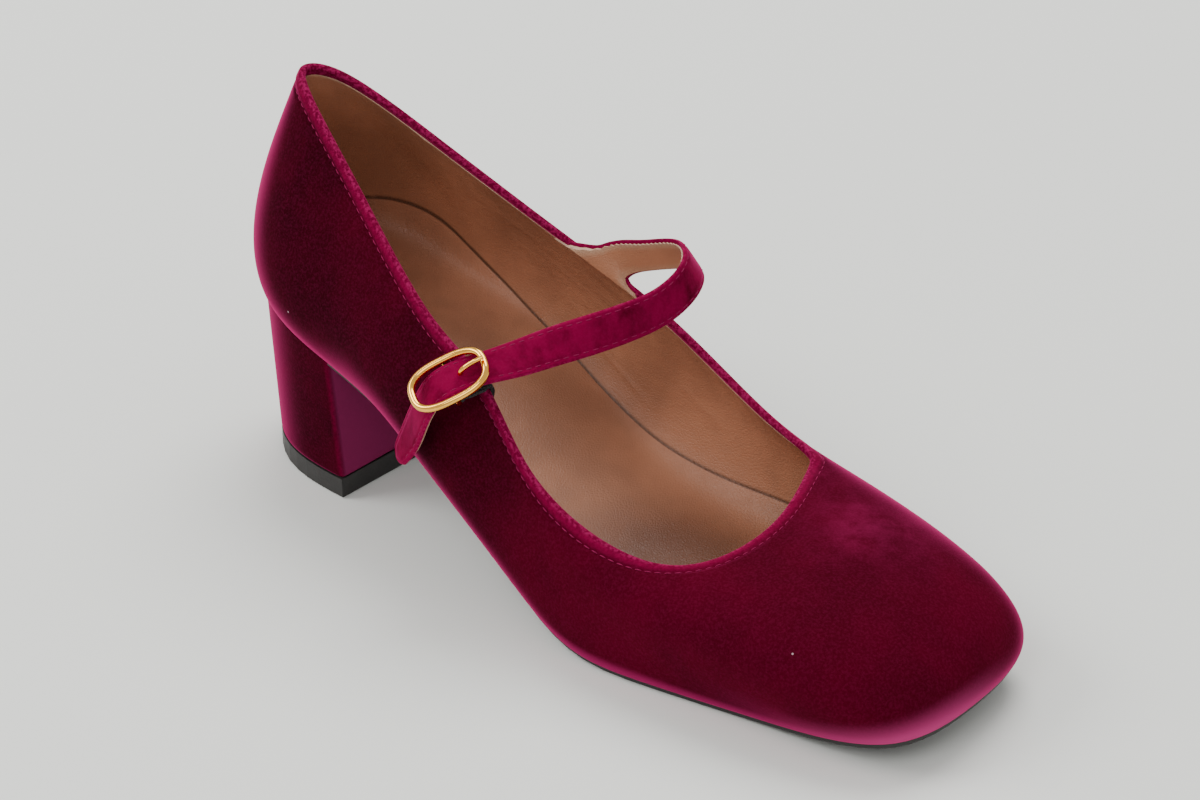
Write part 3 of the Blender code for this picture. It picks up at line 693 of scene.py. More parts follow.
class Finish:
    """A procedural material that is put together from Python expressions."""

    def __init__(self, name):
        self.material = bpy.data.materials.new(name)
        self.material.use_nodes = True
        self.tree = self.material.node_tree
        self.tree.nodes.clear()
        self.place = self.node("ShaderNodeTexCoord", {}, {}, "Object")

    def node(self, kind, settings, inputs, output=0):
        """A node of a type with its settings, and its sockets set or linked."""
        node = self.tree.nodes.new(kind)
        for key, value in settings.items():
            setattr(node, key, value)
        for key, value in inputs.items():
            if isinstance(value, Value):
                self.tree.links.new(value.socket, node.inputs[key])
            else:
                node.inputs[key].default_value = value
        return Value(self, node.outputs[output])

    def mix(self, share, first, second):
        """A colour between two colours."""
        first, second = (c if isinstance(c, Value) else (*c, 1) for c in (first, second))
        return self.node("ShaderNodeMix", {"data_type": "RGBA"}, {0: share, 6: first, 7: second}, 2)

    def noise(self, scale, detail=2.0, roughness=0.5, stretch=(1, 1, 1), turn=(0, 0, 0)):
        """Clouds of a scale, which a stretch below 1 draws out along its axis."""
        place = self.place
        if stretch != (1, 1, 1) or turn != (0, 0, 0):
            place = self.node("ShaderNodeMapping", {}, {"Vector": place, "Rotation": turn, "Scale": stretch})
        inputs = {"Vector": place, "Scale": scale, "Detail": detail, "Roughness": roughness}
        return self.node("ShaderNodeTexNoise", {}, inputs, "Fac")

    def mark(self, name):
        """The numbers that a piece's points carry under a name."""
        return self.node("ShaderNodeAttribute", {"attribute_name": name}, {}, "Fac")

    def near(self, spot, reach):
        """A mask that fades from a spot, given in the frame, to nothing at its reach."""
        away = self.node("ShaderNodeVectorMath", {"operation": "DISTANCE"}, {0: self.place, 1: spot}, "Value")
        return away.ramp(0.0, reach, 1.0, 0.0)

    def near_either(self, spots):
        """A mask around the nearer of two spots."""
        first, second = (self.near(*spot) for spot in spots)
        return first.at_least(second)

    def grazing(self, blend):
        """How far the surface turns away from the eye."""
        return self.node("ShaderNodeLayerWeight", {}, {"Blend": blend}, "Facing")

    def bump(self, height, distance, strength):
        """Fine relief that is too small to model."""
        return self.node("ShaderNodeBump", {}, {"Height": height, "Distance": distance, "Strength": strength})

    def done(self, **inputs):
        """The finished material, with these sockets of its shader set or linked."""
        named = {key.replace("_", " "): value for key, value in inputs.items()}
        shader = self.node("ShaderNodeBsdfPrincipled", {}, named)
        output = self.tree.nodes.new("ShaderNodeOutputMaterial")
        self.tree.links.new(shader.socket, output.inputs["Surface"])
        return self.material


def velvet(settings, name="velvet", heel=False, back_share=0.0, lift=0.0):
    """Plush pile: nearly black red face on, crimson where it is brushed, and pink sheen painted where it
    turns away and along its edges.
    """
    f = Finish(name)
    edge = f.mark("edge_gap")
    foot = f.mark("foot_gap")
    cloud = f.noise(30, 3.0, 0.55)
    brushed = f.noise(150, 3.0, 0.6, (1.0, 1.0, 0.55))
    pile = f.noise(1500, 2.0, 0.6)
    speckle = f.noise(1050, 2.0, 0.7)
    # The share of the lighter pile changes from back_share at the back to 0.52 at the front
    towards_front = f.node("ShaderNodeSeparateXYZ", {}, {"Vector": f.place}, "X").ramp(-0.050, 0.048, back_share, 0.52)
    face = f.mix(cloud.ramp(0.36, 0.74) * 0.45 + towards_front, settings.deep_colour, settings.pile_colour)
    face = f.mix(brushed.ramp(0.50, 0.78) * 0.22, face, settings.pile_colour)
    face = f.mix(brushed.ramp(0.22, 0.66) * lift, face, settings.fold_colour)
    # Painted sheen: pink where the surface turns away from the eye
    face = f.mix(f.grazing(0.5).ramp(0.50, 0.97) * 0.75, face, settings.bloom_sheen_colour)
    # Painted sheen along folded edges and corners: a crimson band with a pink lip at the edge
    fold = edge.ramp(0.0010, 0.0034, 1.0, 0.0) * (0.55 + 0.45 * speckle.ramp(0.30, 0.70))
    face = f.mix(fold * 0.70, face, settings.fold_colour)
    lip = edge.ramp(0.0, 0.0009, 1.0, 0.0) * speckle.ramp(0.42, 0.64)
    face = f.mix(lip * 0.42, face, settings.bloom_sheen_colour)
    # Painted sheen along the foot, where the pile catches the light by the sole
    hem = foot.ramp(0.0, 0.0040, 1.0, 0.0)
    face = f.mix(hem * 0.74, face, settings.bloom_sheen_colour)
    # Brushed pile at the shoulder, lightened partly with painted sheen
    shoulder = f.near_either(BRUSHED_SHEEN_SPOTS) * cloud.ramp(0.28, 0.62) * brushed.ramp(0.25, 0.70)
    face = f.mix(shoulder * 0.20, face, settings.bloom_sheen_colour)
    # Painted sheen: bright pink along the toe's lower edge
    toe = f.near(*TOE_SHEEN_SPOT) * foot.ramp(0.0005, 0.0090, 1.0, 0.0)
    face = f.mix(toe * 0.78, face, settings.toe_sheen_colour)
    if heel:
        face = f.mix(f.mark("breast") * 0.8, face, settings.breast_colour)
    face = f.mix(f.near_either(LINT_SPOTS).ramp(0.2, 0.8) * 0.7, face, LINT_COLOUR)
    face = f.mix(pile.ramp(0.35, 0.75) * 0.07, face, settings.bloom_sheen_colour)
    relief = pile * 0.6 + brushed * 0.5 + speckle * 0.5
    return f.done(
        Base_Color=face,
        Roughness=0.82,
        Specular_IOR_Level=0.02,
        Sheen_Weight=settings.sheen,
        Sheen_Roughness=0.28,
        Sheen_Tint=(*settings.sheen_colour, 1),
        Normal=f.bump(relief, 0.00012, 0.5),
    )


def leather(settings, name, colour, folds=False):
    """Smooth lining leather with a fine grain and a little gloss, and a painted shadow under the vamp."""
    f = Finish(name)
    worn = f.noise(28, 3.0, 0.6)
    spots = f.noise(210, 3.0, 0.65)
    inputs = {"Vector": f.place, "Scale": 1150.0}
    grain = f.node("ShaderNodeTexVoronoi", {"feature": "DISTANCE_TO_EDGE"}, inputs, "Distance")
    fine = f.noise(900, 2.0, 0.6)
    wrinkle = f.noise(320, 3.0, 0.55, (0.35, 1.0, 1.0), (0.0, 0.5, 0.0))
    dark, light = shaded(colour, 0.80), shaded(colour, 1.15)
    # The colour of the painted shadow under the vamp
    under = tuple(c * share for c, share in zip(colour, VAMP_SHADOW_SHARES))
    face = f.mix(worn.ramp(0.35, 0.68), dark, light)
    face = f.mix(spots.ramp(0.45, 0.75) * 0.22, face, dark)
    face = f.mix(f.mark("raw_edge"), face, settings.raw_edge_colour)
    face = f.mix(f.mark("seam") * 0.85, face, shaded(colour, 0.16))
    # Painted shadow: the leather darkened under the vamp, where the vamp's shade falls
    face = f.mix(f.near(*VAMP_SHADOW_SPOT).ramp(0.0, 0.8) * 0.80, face, under)
    if folds:
        heel_mark = f.near(*HEEL_RING)
        ring = heel_mark.ramp(0.30, 0.46) * heel_mark.ramp(0.46, 0.62, 1.0, 0.0)
        face = f.mix(ring * 0.22, face, light)
    relief = grain.ramp(0.0, 0.25) * 0.5 + fine * 0.35 + wrinkle * (1.6 if folds else 0.5)
    return f.done(
        Base_Color=face,
        Roughness=spots.ramp(0.3, 0.7, 0.36, 0.50),
        Specular_IOR_Level=0.45,
        Normal=f.bump(relief, 0.00016, 0.6),
    )


def polished(settings):
    """Gold coloured metal with faint rubbed marks."""
    f = Finish("polished gold")
    rubbed = f.noise(420, 3.0, 0.6, (1, 1, 0.3))
    face = f.mix(rubbed.ramp(0.4, 0.75), settings.gold_colour, shaded(settings.gold_colour, 0.86))
    return f.done(
        Base_Color=face,
        Metallic=1.0,
        Roughness=rubbed.ramp(0.3, 0.8, settings.gold_roughness, settings.gold_roughness + 0.06),
        Normal=f.bump(rubbed, 0.00004, 0.4),
    )


def rubber(name, colour):
    """Matt black sole rubber, a little dusty."""
    f = Finish(name)
    dust = f.noise(70, 4.0, 0.65)
    fine = f.noise(1300, 2.0, 0.6)
    face = f.mix(dust.ramp(0.45, 0.75) * 0.5, colour, shaded(colour, 2.6, 0.01))
    dull = dust.ramp(0.3, 0.8, 0.48, 0.68)
    return f.done(Base_Color=face, Roughness=dull, Normal=f.bump(fine, 0.00012, 0.5))


def woven(name, colour):
    """Black elastic: ribs along its stretch, crossed by fine threads."""
    f = Finish(name)
    waves = []
    for way, scale in (("Y", 380.0), ("Z", 620.0)):
        inputs = {"Vector": f.place, "Scale": scale, "Distortion": 0.6}
        waves.append(f.node("ShaderNodeTexWave", {"bands_direction": way}, inputs))
    ribs, threads = waves
    face = f.mix(ribs * threads, colour, shaded(colour, 3, 0.012))
    return f.done(Base_Color=face, Roughness=0.85, Normal=f.bump(ribs * 0.7 + threads * 0.5, 0.0002, 0.8))


def thread(settings):
    """Twisted thread, a shade lighter than the velvet."""
    f = Finish("thread")
    twist = f.noise(2400, 1.0, 0.5)
    face = f.mix(twist, settings.thread_colour, shaded(settings.thread_colour, 0.5))
    return f.done(Base_Color=face, Roughness=0.7, Specular_IOR_Level=0.08, Normal=f.bump(twist, 0.00008, 0.6))


def colour_setting(name, description, default):
    """A colour that a user can change."""
    words = {"name": name, "description": description}
    return FloatVectorProperty(**words, subtype="COLOR", default=default)


def length_setting(name, description, default):
    """A length that a user can change."""
    words = {"name": name, "description": description}
    return FloatProperty(**words, subtype="DISTANCE", unit="LENGTH", default=default)


def share_setting(name, description, default, most=1):
    """A share that a user can change."""
    words = {"name": name, "description": description}
    return FloatProperty(**words, subtype="FACTOR", min=0, max=most, default=default)


class VelvetSettings(PropertyGroup):
    """Colours and sizes of the velvet."""

    deep_colour: colour_setting("Deep", "Pile seen face on", (0.021, 0.0001, 0.0022))
    pile_colour: colour_setting("Pile", "Pile brushed towards the light", (0.074, 0.0003, 0.0085))
    # Pink of the painted sheen: at grazing angles, on edges, along the foot and at the shoulder
    bloom_sheen_colour: colour_setting("Bloom", "Pile where it turns away", (0.40, 0.018, 0.125))
    # Pink of the painted sheen along the toe's lower edge
    toe_sheen_colour: colour_setting("Rubbed", "Pile rubbed up at the toe", (0.52, 0.052, 0.205))
    # Crimson of the painted sheen on folded edges and corners, also used to lighten the strap's brushed
    # patches
    fold_colour: colour_setting("Fold colour", "Folded edges", (0.22, 0.0014, 0.040))
    breast_colour: colour_setting("Breast", "Front of the heel", (0.27, 0.022, 0.105))
    sheen_colour: colour_setting("Sheen", "Tint of the sheen", (1.0, 0.06, 0.30))
    sheen: share_setting("Sheen weight", "Strength of the sheen", 0.42)
    crest_rise: length_setting("Crest rise", "Height of the rolled topline over the wall", 0.0008)
    fold_depth: length_setting("Fold", "How far the velvet is folded into the shoe", 0.0026)


class StitchSettings(PropertyGroup):
    """The stitches that hold the topline and the strap."""

    thread_colour: colour_setting("Thread", "Colour of the thread", (0.30, 0.012, 0.080))
    pitch: length_setting("Pitch", "From one stitch to the next", 0.0026)
    length: length_setting("Length", "Length of one stitch", 0.0020)
    radius: length_setting("Thickness", "Half the thread's thickness", 0.00018)
    inset: length_setting("Inset", "From the topline to the stitches", 0.0030)
    strap_inset: length_setting("Strap inset", "From the strap's edges to the stitches", 0.0013)


class LeatherSettings(PropertyGroup):
    """Colours and sizes of the lining and the footbed."""

    lining_colour: colour_setting("Lining", "Lining leather", (0.42, 0.185, 0.102))
    footbed_colour: colour_setting("Footbed colour", "Footbed leather", (0.42, 0.186, 0.104))
    raw_edge_colour: colour_setting("Raw edge", "Cut edge of the lining", (0.50, 0.33, 0.22))
    proud: length_setting("Proud", "How far the lining stands over the folded velvet", 0.00022)
    footbed_thickness: length_setting("Footbed", "Thickness of the footbed's leather", 0.0009)


class MetalSettings(PropertyGroup):
    """Colour of the buckle."""

    gold_colour: colour_setting("Gold", "Polished metal", (0.94, 0.49, 0.085))
    gold_roughness: share_setting("Roughness", "Roughness of the metal", 0.09)


class StageSettings(PropertyGroup):
    """Floor, lights and camera."""

    floor_colour: colour_setting("Floor", "Colour of the floor", (0.83, 0.84, 0.80))
    key_power: FloatProperty(name="Key", description="Power of the lights", unit="POWER", default=30.0)
    fill: share_setting("Fill", "Brightness of the surrounding light", 0.74, 2)
    lens: FloatProperty(name="Lens", description="Focal length in millimetres", unit="CAMERA", default=128.0)


def stitch_places(line, outs, pitch):
    """Middles of stitches an even pitch apart along a line, with their ways along it and out."""
    walked = walk(line)
    count = max(int(round(walked[-1] / pitch)), 2)
    index = np.arange(len(line))
    at = np.interp((np.arange(count) + 0.5) / count * walked[-1], walked, index)
    return [read_line(at, index, values) for values in (line, np.gradient(line, axis=0), outs)]


def stitch_row(name, places, stitches):
    """One rounded stitch is modelled and copied along a line, then the copies are joined as one piece."""
    bpy.ops.object.select_all(action="DESELECT")
    bpy.ops.mesh.primitive_uv_sphere_add(segments=6, ring_count=5, radius=1.0)
    one = bpy.context.object
    shape = np.array([v.co[:] for v in one.data.vertices])
    faces = [tuple(p.vertices) for p in one.data.polygons]
    bpy.data.objects.remove(one)
    points, ways, outs = places
    spots, all_faces = [], []
    for point, way, out in zip(points, unit(ways), unit(outs)):
        side = unit(np.cross(way, out))
        spot = point + shape[:, 2:3] * way * stitches.length / 2 + shape[:, 0:1] * side * stitches.radius
        sunk = shape[:, 2:3] ** 2 * out * stitches.radius * 0.9
        all_faces += [tuple(len(spots) * len(shape) + i for i in face) for face in faces]
        spots.append(spot + shape[:, 1:2] * out * stitches.radius - sunk)
    return solid(name, np.concatenate(spots), all_faces)


def rolled_crest(cloth):
    """Rings of the rolled topline, from the outer side over to the inner side."""
    wall, away = wall_grid(PLACES, [NEAR_TOP, 1.0])
    rise = unit(wall[1] - wall[0])
    middle = wall[1] - away[1] * WALL / 2
    rings = []
    for degrees in range(18, 163, 18):
        turn = math.radians(degrees)
        rings.append(middle + away[1] * WALL / 2 * math.cos(turn) + rise * cloth.crest_rise * math.sin(turn))
    return np.array(rings)


def upper_velvet(cloth, stitches):
    """The velvet as one shell: the outer side, the rolled topline, the fold inside it and the hidden back."""
    hem, side, top = np.linspace(0, 0.1, 9), np.linspace(0.1, 0.8, 32), np.linspace(0.8, 1, 30)
    shares = np.concatenate([hem[:-1], side[:-1], top])
    skin, away = wall_grid(PLACES, shares)
    climbed = walk(skin)
    from_top = climbed[-1] - climbed
    relief = crease_relief(skin, CREASES)
    relief -= STITCH_DENT[0] * bell(from_top - stitches.inset, STITCH_DENT[1])
    relief += ROLL_SWELL[0] * bell(from_top - stitches.inset / 2, ROLL_SWELL[1])
    crest = rolled_crest(cloth)
    fold = share_below_top(PLACES, cloth.fold_depth)
    folded = [wall_ring(1 + (fold - 1) * t, WALL) for t in np.linspace(0, 1, 5)]
    hidden = [wall_ring(fold * t, VELVET_BACK) for t in np.linspace(1, 0, 14)]
    rows = np.concatenate([skin + away * relief[..., None], crest, folded, hidden])
    none = np.zeros((len(crest) + len(folded), AROUND))
    far = np.full((len(hidden), AROUND), 0.02)
    marks = {
        "edge_gap": np.concatenate([from_top, none, far]),
        "foot_gap": np.concatenate([climbed, none + 0.05, far]),
    }
    piece = solid("upper_velvet", rows, grid_faces(len(rows), AROUND, True), marks)
    dressed(piece, velvet(cloth), "upper", "upper")


def lining_relief(skin):
    """Folds of the lining, and the ridge and step of each quarter seam."""
    relief = crease_relief(skin, LINING_FOLDS)
    for seam in QUARTER_SEAMS:
        near = outer_at([seam + 0.1], 0.5) - outer_at([seam - 0.1], 0.5)
        gap = (PLACES - seam) * np.linalg.norm(near) / 0.2
        step = SEAM_STEP * smooth_step(-SEAM_START, 0.0, gap) * smooth_step(SEAM_FADE, 0.0, gap)
        relief += SEAM_RIDGE[0] * bell(gap, SEAM_RIDGE[1]) - step
    return relief


def lining(cloth, hide):
    """The leather inside the upper, from its cut edge on the folded velvet down to the sole."""
    fold = share_below_top(PLACES, cloth.fold_depth)
    edge = share_below_top(PLACES, cloth.fold_depth - LINING_OVERLAP)
    shares = edge * np.concatenate([np.linspace(0, 0.42, 64)[:-1], np.linspace(0.42, 1, 34)])[:, None]
    seen, away = wall_grid(PLACES, shares, WALL + hide.proud)
    seen = seen + away * lining_relief(wall_grid(PLACES, shares)[0])[..., None]
    lip = wall_ring(edge, WALL + LINING_BED)
    tucked = wall_ring(fold * LINING_TUCK, WALL + LINING_BED)
    behind = [wall_ring(fold * t, LINING_BACK) for t in np.linspace(LINING_TUCK, 0, 12)]
    rows = np.concatenate([seen, [lip, tucked], behind])
    above_footbed = (shares - footbed_edge()) * RIB_LENGTH
    seam = np.zeros((len(rows), AROUND))
    seam[: len(seen)] = bell(above_footbed - FOOTBED_LINE[0], FOOTBED_LINE[1])
    pale = 0.35 + 0.65 * smooth_step(12.9, 13.6, PLACES) * smooth_step(15.9, 15.2, PLACES)
    raw = np.zeros((len(rows), AROUND))
    raw[len(seen) - 1] = pale * 0.8
    raw[len(seen)] = pale
    faces = grid_faces(len(rows), AROUND, True)
    piece = solid("lining", rows, faces, {"raw_edge": raw, "seam": seam}, sharp=50)
    dressed(piece, leather(hide, "lining leather", tuple(hide.lining_colour), folds=True), "insole")


def topline_stitches(stitches):
    """The row of stitches below the topline, all around the shoe."""
    places = np.linspace(0, len(RIBS), 1201)
    share = share_below_top(places, stitches.inset)
    line, away = wall_grid(places, share[None], STITCH_BED)
    piece = stitch_row("topline_stitches", stitch_places(line[0], away[0], stitches.pitch), stitches)
    dressed(piece, thread(stitches), "upper")


def footbed_sheet(depth):
    """Rings of the footbed's face, from its edge on the lining down the wall and in to the middle line."""
    edge = footbed_edge()
    shares = np.linspace(0, 0.3, 31)
    wall, _ = wall_grid(PLACES, shares, depth + FOOTBED_LIFT + FOOTBED_FILL)
    height = wall[..., 2] - bottom(wall[..., 0].ravel()).reshape(wall.shape[:2])
    low = np.array([np.interp(INSOLE_THICKNESS, column, shares) for column in height.T])
    low = np.minimum(low, edge - 0.015)
    rings = []
    for t in np.arange(19) / 18:
        lift = FOOTBED_LIFT + FOOTBED_FILL * min(t * 4, 1)
        rings.append(wall_ring(edge + (low - edge) * t, depth + lift))
    foot = rings[-1]
    across = foot[(-np.arange(AROUND)) % AROUND]
    centre = (foot + across) / 2
    order = np.argsort(centre[:, 0])
    spine_x = np.clip(centre[:, 0], FOOTBED_HEEL_END, LENGTH - FOOTBED_TOE_END)
    spine_y = np.interp(spine_x, centre[order, 0], centre[order, 1])
    for t in np.arange(1, 47) / 46:
        ring = foot.copy()
        ring[:, 0] += (spine_x - foot[:, 0]) * t
        ring[:, 1] += (spine_y - foot[:, 1]) * t
        heel = np.maximum(0, 1 - ring[:, 0] / (0.30 * LENGTH))
        cup = HEEL_CUP * heel * (1 - (1 - t) ** 2)
        lift = (foot[:, 2] - bottom(foot[:, 0])) * (1 - t) + INSOLE_THICKNESS * t
        ring[:, 2] = bottom(ring[:, 0]) + lift - cup
        rings.append(ring)
    rings = np.array(rings)
    for _ in range(FOOTBED_SOFTENING):
        rings[1:-1] = (rings[:-2] + 2 * rings[1:-1] + rings[2:]) / 4
    return rings


def heel_rings(steps=40, points=168):
    """The heel's outline at its top and foot, each point's way from the breast's corners, and the breast."""
    outer = place_of(BREAST_TOP)
    left = edge_in(np.linspace(0, outer, steps + 1), HEEL_INSET, SOLE_GAP)
    left[-1, 0] = BREAST_TOP
    back, widest = left[0, 0], left[:, 1].min()
    back_foot = back + HEEL_BACK_LEAN
    stretch = (BREAST_TOP + BREAST_LEAN - back_foot) / (BREAST_TOP - back)
    right = left * (1, -1, 1)
    front = [right[-1] + (left[-1] - right[-1]) * k / 12 for k in range(1, 12)]
    outline = np.array([*left[::-1], *right[1:], *front, left[-1]])
    walked = walk(outline)
    wanted = np.arange(points) / points * walked[-1]
    top = softened(read_line(wanted, walked, outline), 2)
    top[:, 2] = bottom(top[:, 0]) - SOLE_GAP
    foot = top.copy()
    foot[:, 0] = back_foot + (top[:, 0] - back) * stretch
    foot[:, 1] = top[:, 1] / widest * -HEEL_FOOT_WIDTH / 2
    foot[:, 2] = TIP_THICKNESS + GAP
    first, second = walked[[0, 2 * steps]]
    around = np.minimum(np.abs(wanted - first), walked[-1] - wanted)
    return top, foot, np.minimum(around, np.abs(wanted - second)), wanted > second


def heel_cover(cloth):
    """The velvet around the heel block, with its flat breast marked."""
    top, foot, from_corner, on_breast = heel_rings()
    heart = foot.mean(axis=0) * (1, 1, 0)
    rows = []
    for inset, share in HEEL_ROUND:
        ring = foot + (top - foot) * share
        rows.append(ring - unit((ring - heart) * (1, 1, 0)) * inset)
    rows += [foot + (top - foot) * share for share in np.linspace(0.05, 1, 30)]
    rows = np.array(rows)
    size = rows.shape[1]
    points = rows.reshape(-1, 3)
    ends = np.array([rows[0].mean(axis=0), rows[-1].mean(axis=0)])
    ends[1, 2] = bottom(ends[1, 0])[0] - SOLE_GAP - 0.0008
    first, last = len(points), (len(rows) - 1) * size
    faces = grid_faces(len(rows), size, False)
    faces += [(first, (i + 1) % size, i) for i in range(size)]
    faces += [(first + 1, last + i, last + (i + 1) % size) for i in range(size)]
    breast = on_breast * smooth_step(0.0004, 0.0022, from_corner)
    gap = np.where(on_breast, from_corner + 0.0012, from_corner + 0.0016)
    marks = {
        "edge_gap": np.concatenate([np.tile(gap, len(rows)), [0.02, 0.02]]),
        "foot_gap": np.full(len(points) + 2, 0.05),
        "breast": np.concatenate([np.tile(breast, len(rows)), [0, 0]]),
    }
    piece = solid("heel_cover", np.vstack([points, ends]), faces, marks)
    dressed(piece, velvet(cloth, "heel velvet", heel=True), "heel", "heel")


def strap_lines(stations):
    """The strap's frames, led on below the topline where a station is below zero."""
    middle, _, width, out, half = strap_at(np.maximum(stations, 0))
    up = rim_at([ROOT_PLACE])[1][0]
    middle = middle + np.minimum(stations, 0)[:, None] * up * ROOT_DEPTH
    half = half + ROOT_FLARE * np.clip((FLARE_END - stations) / FLARE_END, 0, 1.6) ** 2
    slim = 1 - ROOT_CUT[0] * bell(stations - FLARE_END, ROOT_CUT[1])
    return middle, width, out, half, slim


def strap_velvet(cloth, stitches):
    """The velvet band: a domed face with a groove under each row of stitches, and a flatter back."""
    stations = np.concatenate([np.linspace(-0.55, 1, 26)[:-1], np.linspace(1, LAST_STATION, 300)])
    middle, width, out, half, slim = strap_lines(stations)
    walked = walk(middle)
    tip = np.clip((walked[-1] - walked) / TIP_ROUND, 0, 1)
    tip = np.sqrt(np.clip(1 - (1 - tip) ** 2, 0.06, 1))
    over = np.linspace(-1, 1, 33)
    under = np.linspace(1, -1, 13)[1:-1]
    rings, gaps = [], []
    for m, w, n, h, t, back in zip(middle, width, out, half * tip, tip, slim):
        gap = h - np.abs(over * h)
        face = HALF_STRAP * np.sqrt(np.clip(1 - np.abs(over) ** 7, 0, 1)) * (0.5 + 0.5 * t)
        face = face - STRAP_GROOVE[0] * bell(gap - stitches.strap_inset, STRAP_GROOVE[1])
        base = -0.72 * HALF_STRAP * np.sqrt(1 - np.abs(under) ** 8) * (0.5 + 0.5 * t)
        across = np.concatenate([over, under]) * h
        across = np.where(across < 0, across * back, across)
        rings.append(m + w * across[:, None] + n * np.concatenate([face, base])[:, None])
        gaps.append(np.concatenate([gap, np.full(len(under), 0.0010)]))
    count, size = len(rings), len(rings[0])
    marks = {"edge_gap": np.array(gaps) * 1.6, "foot_gap": np.full((count, size), 0.05)}
    piece = solid("strap_velvet", np.array(rings), tube_faces(count, size), marks, sharp=70)
    dressed(piece, velvet(cloth, "strap velvet", back_share=0.9, lift=0.78), "strap", "strap")


def strap_lining(hide):
    """The leather under the strap, with a pinked back edge near the root."""
    stations = np.concatenate([np.linspace(-0.75, 1, 60)[:-1], np.linspace(1, LAST_STATION - 0.28, 420)])
    middle, width, out, half, slim = strap_lines(stations)
    near_root = smooth_step(6.5, 5.0, stations)
    bite = PINKING_DEPTH * np.abs((walk(middle) / PINKING) % 1 * 2 - 1) * near_root
    drop = 0.0006 * smooth_step(1.1, 0.0, stations)
    rings = []
    for m, w, n, h, tooth, low, share in zip(middle, width, out, half, bite, drop, slim):
        back, front = -(h * share - LINING_MARGIN + tooth), h - 0.0009
        top, base = -0.70 * HALF_STRAP, -1.08 * HALF_STRAP - low
        corners = [(back, top), (front, top), (front, base), (front * 0.5, base)]
        corners += [(0, base), (back * 0.5, base), (back, base)]
        rings.append(np.array([m + w * a + n * b for a, b in corners]))
    count, size = len(rings), len(rings[0])
    raw = np.zeros((count, size))
    raw[:, 0] = 1.0
    raw[:, 6] = 0.85 * near_root
    raw[:, 1:3] = 0.4
    piece = solid("strap_lining", np.array(rings), tube_faces(count, size), {"raw_edge": raw}, sharp=50)
    dressed(piece, leather(hide, "strap lining leather", tuple(hide.lining_colour)), "insole")


def strap_stitches(stitches):
    """A row of stitches along each edge of the strap, left out where the buckle's ring lies over it."""
    middle, width, out, half, slim = strap_lines(np.linspace(0.7, LAST_STATION - 0.45, 900))
    centre = buckle_point(0, 0, 0)
    rows = []
    for side in (-1, 1):
        reach = half * (slim if side < 0 else 1) - stitches.strap_inset
        line = middle + width * (side * reach)[:, None] + out * (0.80 * HALF_STRAP)
        places = stitch_places(line, out, stitches.pitch)
        clear = np.abs(np.linalg.norm(places[0] - centre, axis=1) - BUCKLE_LENGTH / 2) > STITCH_CLEAR
        rows.append([values[clear] for values in places])
    piece = stitch_row("strap_stitches", [np.concatenate(parts) for parts in zip(*rows)], stitches)
    dressed(piece, bpy.data.materials["thread"], "strap")


def ring_path(count=144):
    """The ring's wire: a rounded oval around the strap, with its points spaced evenly."""
    long, wide = BUCKLE_LENGTH / 2, STRAP_WIDTH / 2 + BUCKLE_SIDE
    ring = []
    for angle in np.arange(count + 1) * 2 * math.pi / count:
        c, s = math.cos(angle), math.sin(angle)
        t = long * math.copysign(abs(c) ** RING_ROUND, c)
        w = wide * math.copysign(abs(s) ** RING_ROUND, s)
        ring.append(buckle_point(t, w, RING_LIFT))
    ring[-1] = ring[0]
    walked = walk(ring)
    return read_line(np.arange(count) / count * walked[-1], walked, ring)


def bar_path():
    """The bar's wire: down from one side of the ring, across under the strap, and up to the other side."""
    wide = STRAP_WIDTH / 2 + BUCKLE_SIDE
    corner = 0.45 * (RING_LIFT - BAR_DEPTH)
    arm = [(wide, RING_LIFT), (wide, BAR_DEPTH + corner)]
    arm += [(wide - 0.3 * corner, BAR_DEPTH + 0.3 * corner), (wide - corner, BAR_DEPTH)]
    return [buckle_point(0, w, n) for w, n in arm] + [buckle_point(0, -w, n) for w, n in reversed(arm)]


def prong_path():
    """The prong's wire: a curl under the bar, up through the strap and over to the ring's inner end."""
    curl = (BAR_WIRE + PRONG_WIRE) / 2 + GAP
    path = []
    for k in range(9):
        angle = math.radians(10 - 180 * k / 8)
        path.append((curl * math.cos(angle), BAR_DEPTH + curl * math.sin(angle)))
    rest = RING_LIFT + (BUCKLE_WIRE + PRONG_WIRE) / 2 + GAP
    end = -BUCKLE_LENGTH / 2
    path += [
        (PRONG_FOOT, -1.10 * STRAP_THICKNESS),
        (PRONG_HOLE, 0),
        (PRONG_HOLE + PRONG_LEAN, 0.62 * STRAP_THICKNESS),
        (0.62 * PRONG_HOLE + 0.38 * end, 0.86 * rest),
        (0.25 * PRONG_HOLE + 0.75 * end, rest),
        (end - 0.3 * BUCKLE_WIRE, rest),
    ]
    knots = walk(path)
    return [buckle_point(t, 0, n) for t, n in natural_spline(knots, path, np.linspace(0, knots[-1], 60))]


def wire_piece(name, path, thickness, closed, slim=None):
    """A round wire along a path, drawn as a curve and made a mesh."""
    bpy.ops.object.select_all(action="DESELECT")
    bpy.ops.curve.primitive_bezier_curve_add(location=(0, 0, 0))
    piece = bpy.context.object
    piece.name = name
    curve = piece.data
    curve.splines.clear()
    line = curve.splines.new("POLY")
    line.points.add(len(path) - 1)
    for index, (point, spot) in enumerate(zip(line.points, np.asarray(path) + SHIFT)):
        point.co = (*spot, 1)
        point.radius = 1 if slim is None else slim[index]
    line.use_cyclic_u = closed
    line.use_smooth = True
    curve.dimensions = "3D"
    curve.twist_mode = "MINIMUM"
    curve.bevel_depth = thickness / 2
    curve.bevel_resolution = 5
    curve.use_fill_caps = not closed
    bpy.ops.object.convert(target="MESH")
    bpy.ops.object.shade_smooth_by_angle(angle=math.radians(50))
    return bpy.context.object


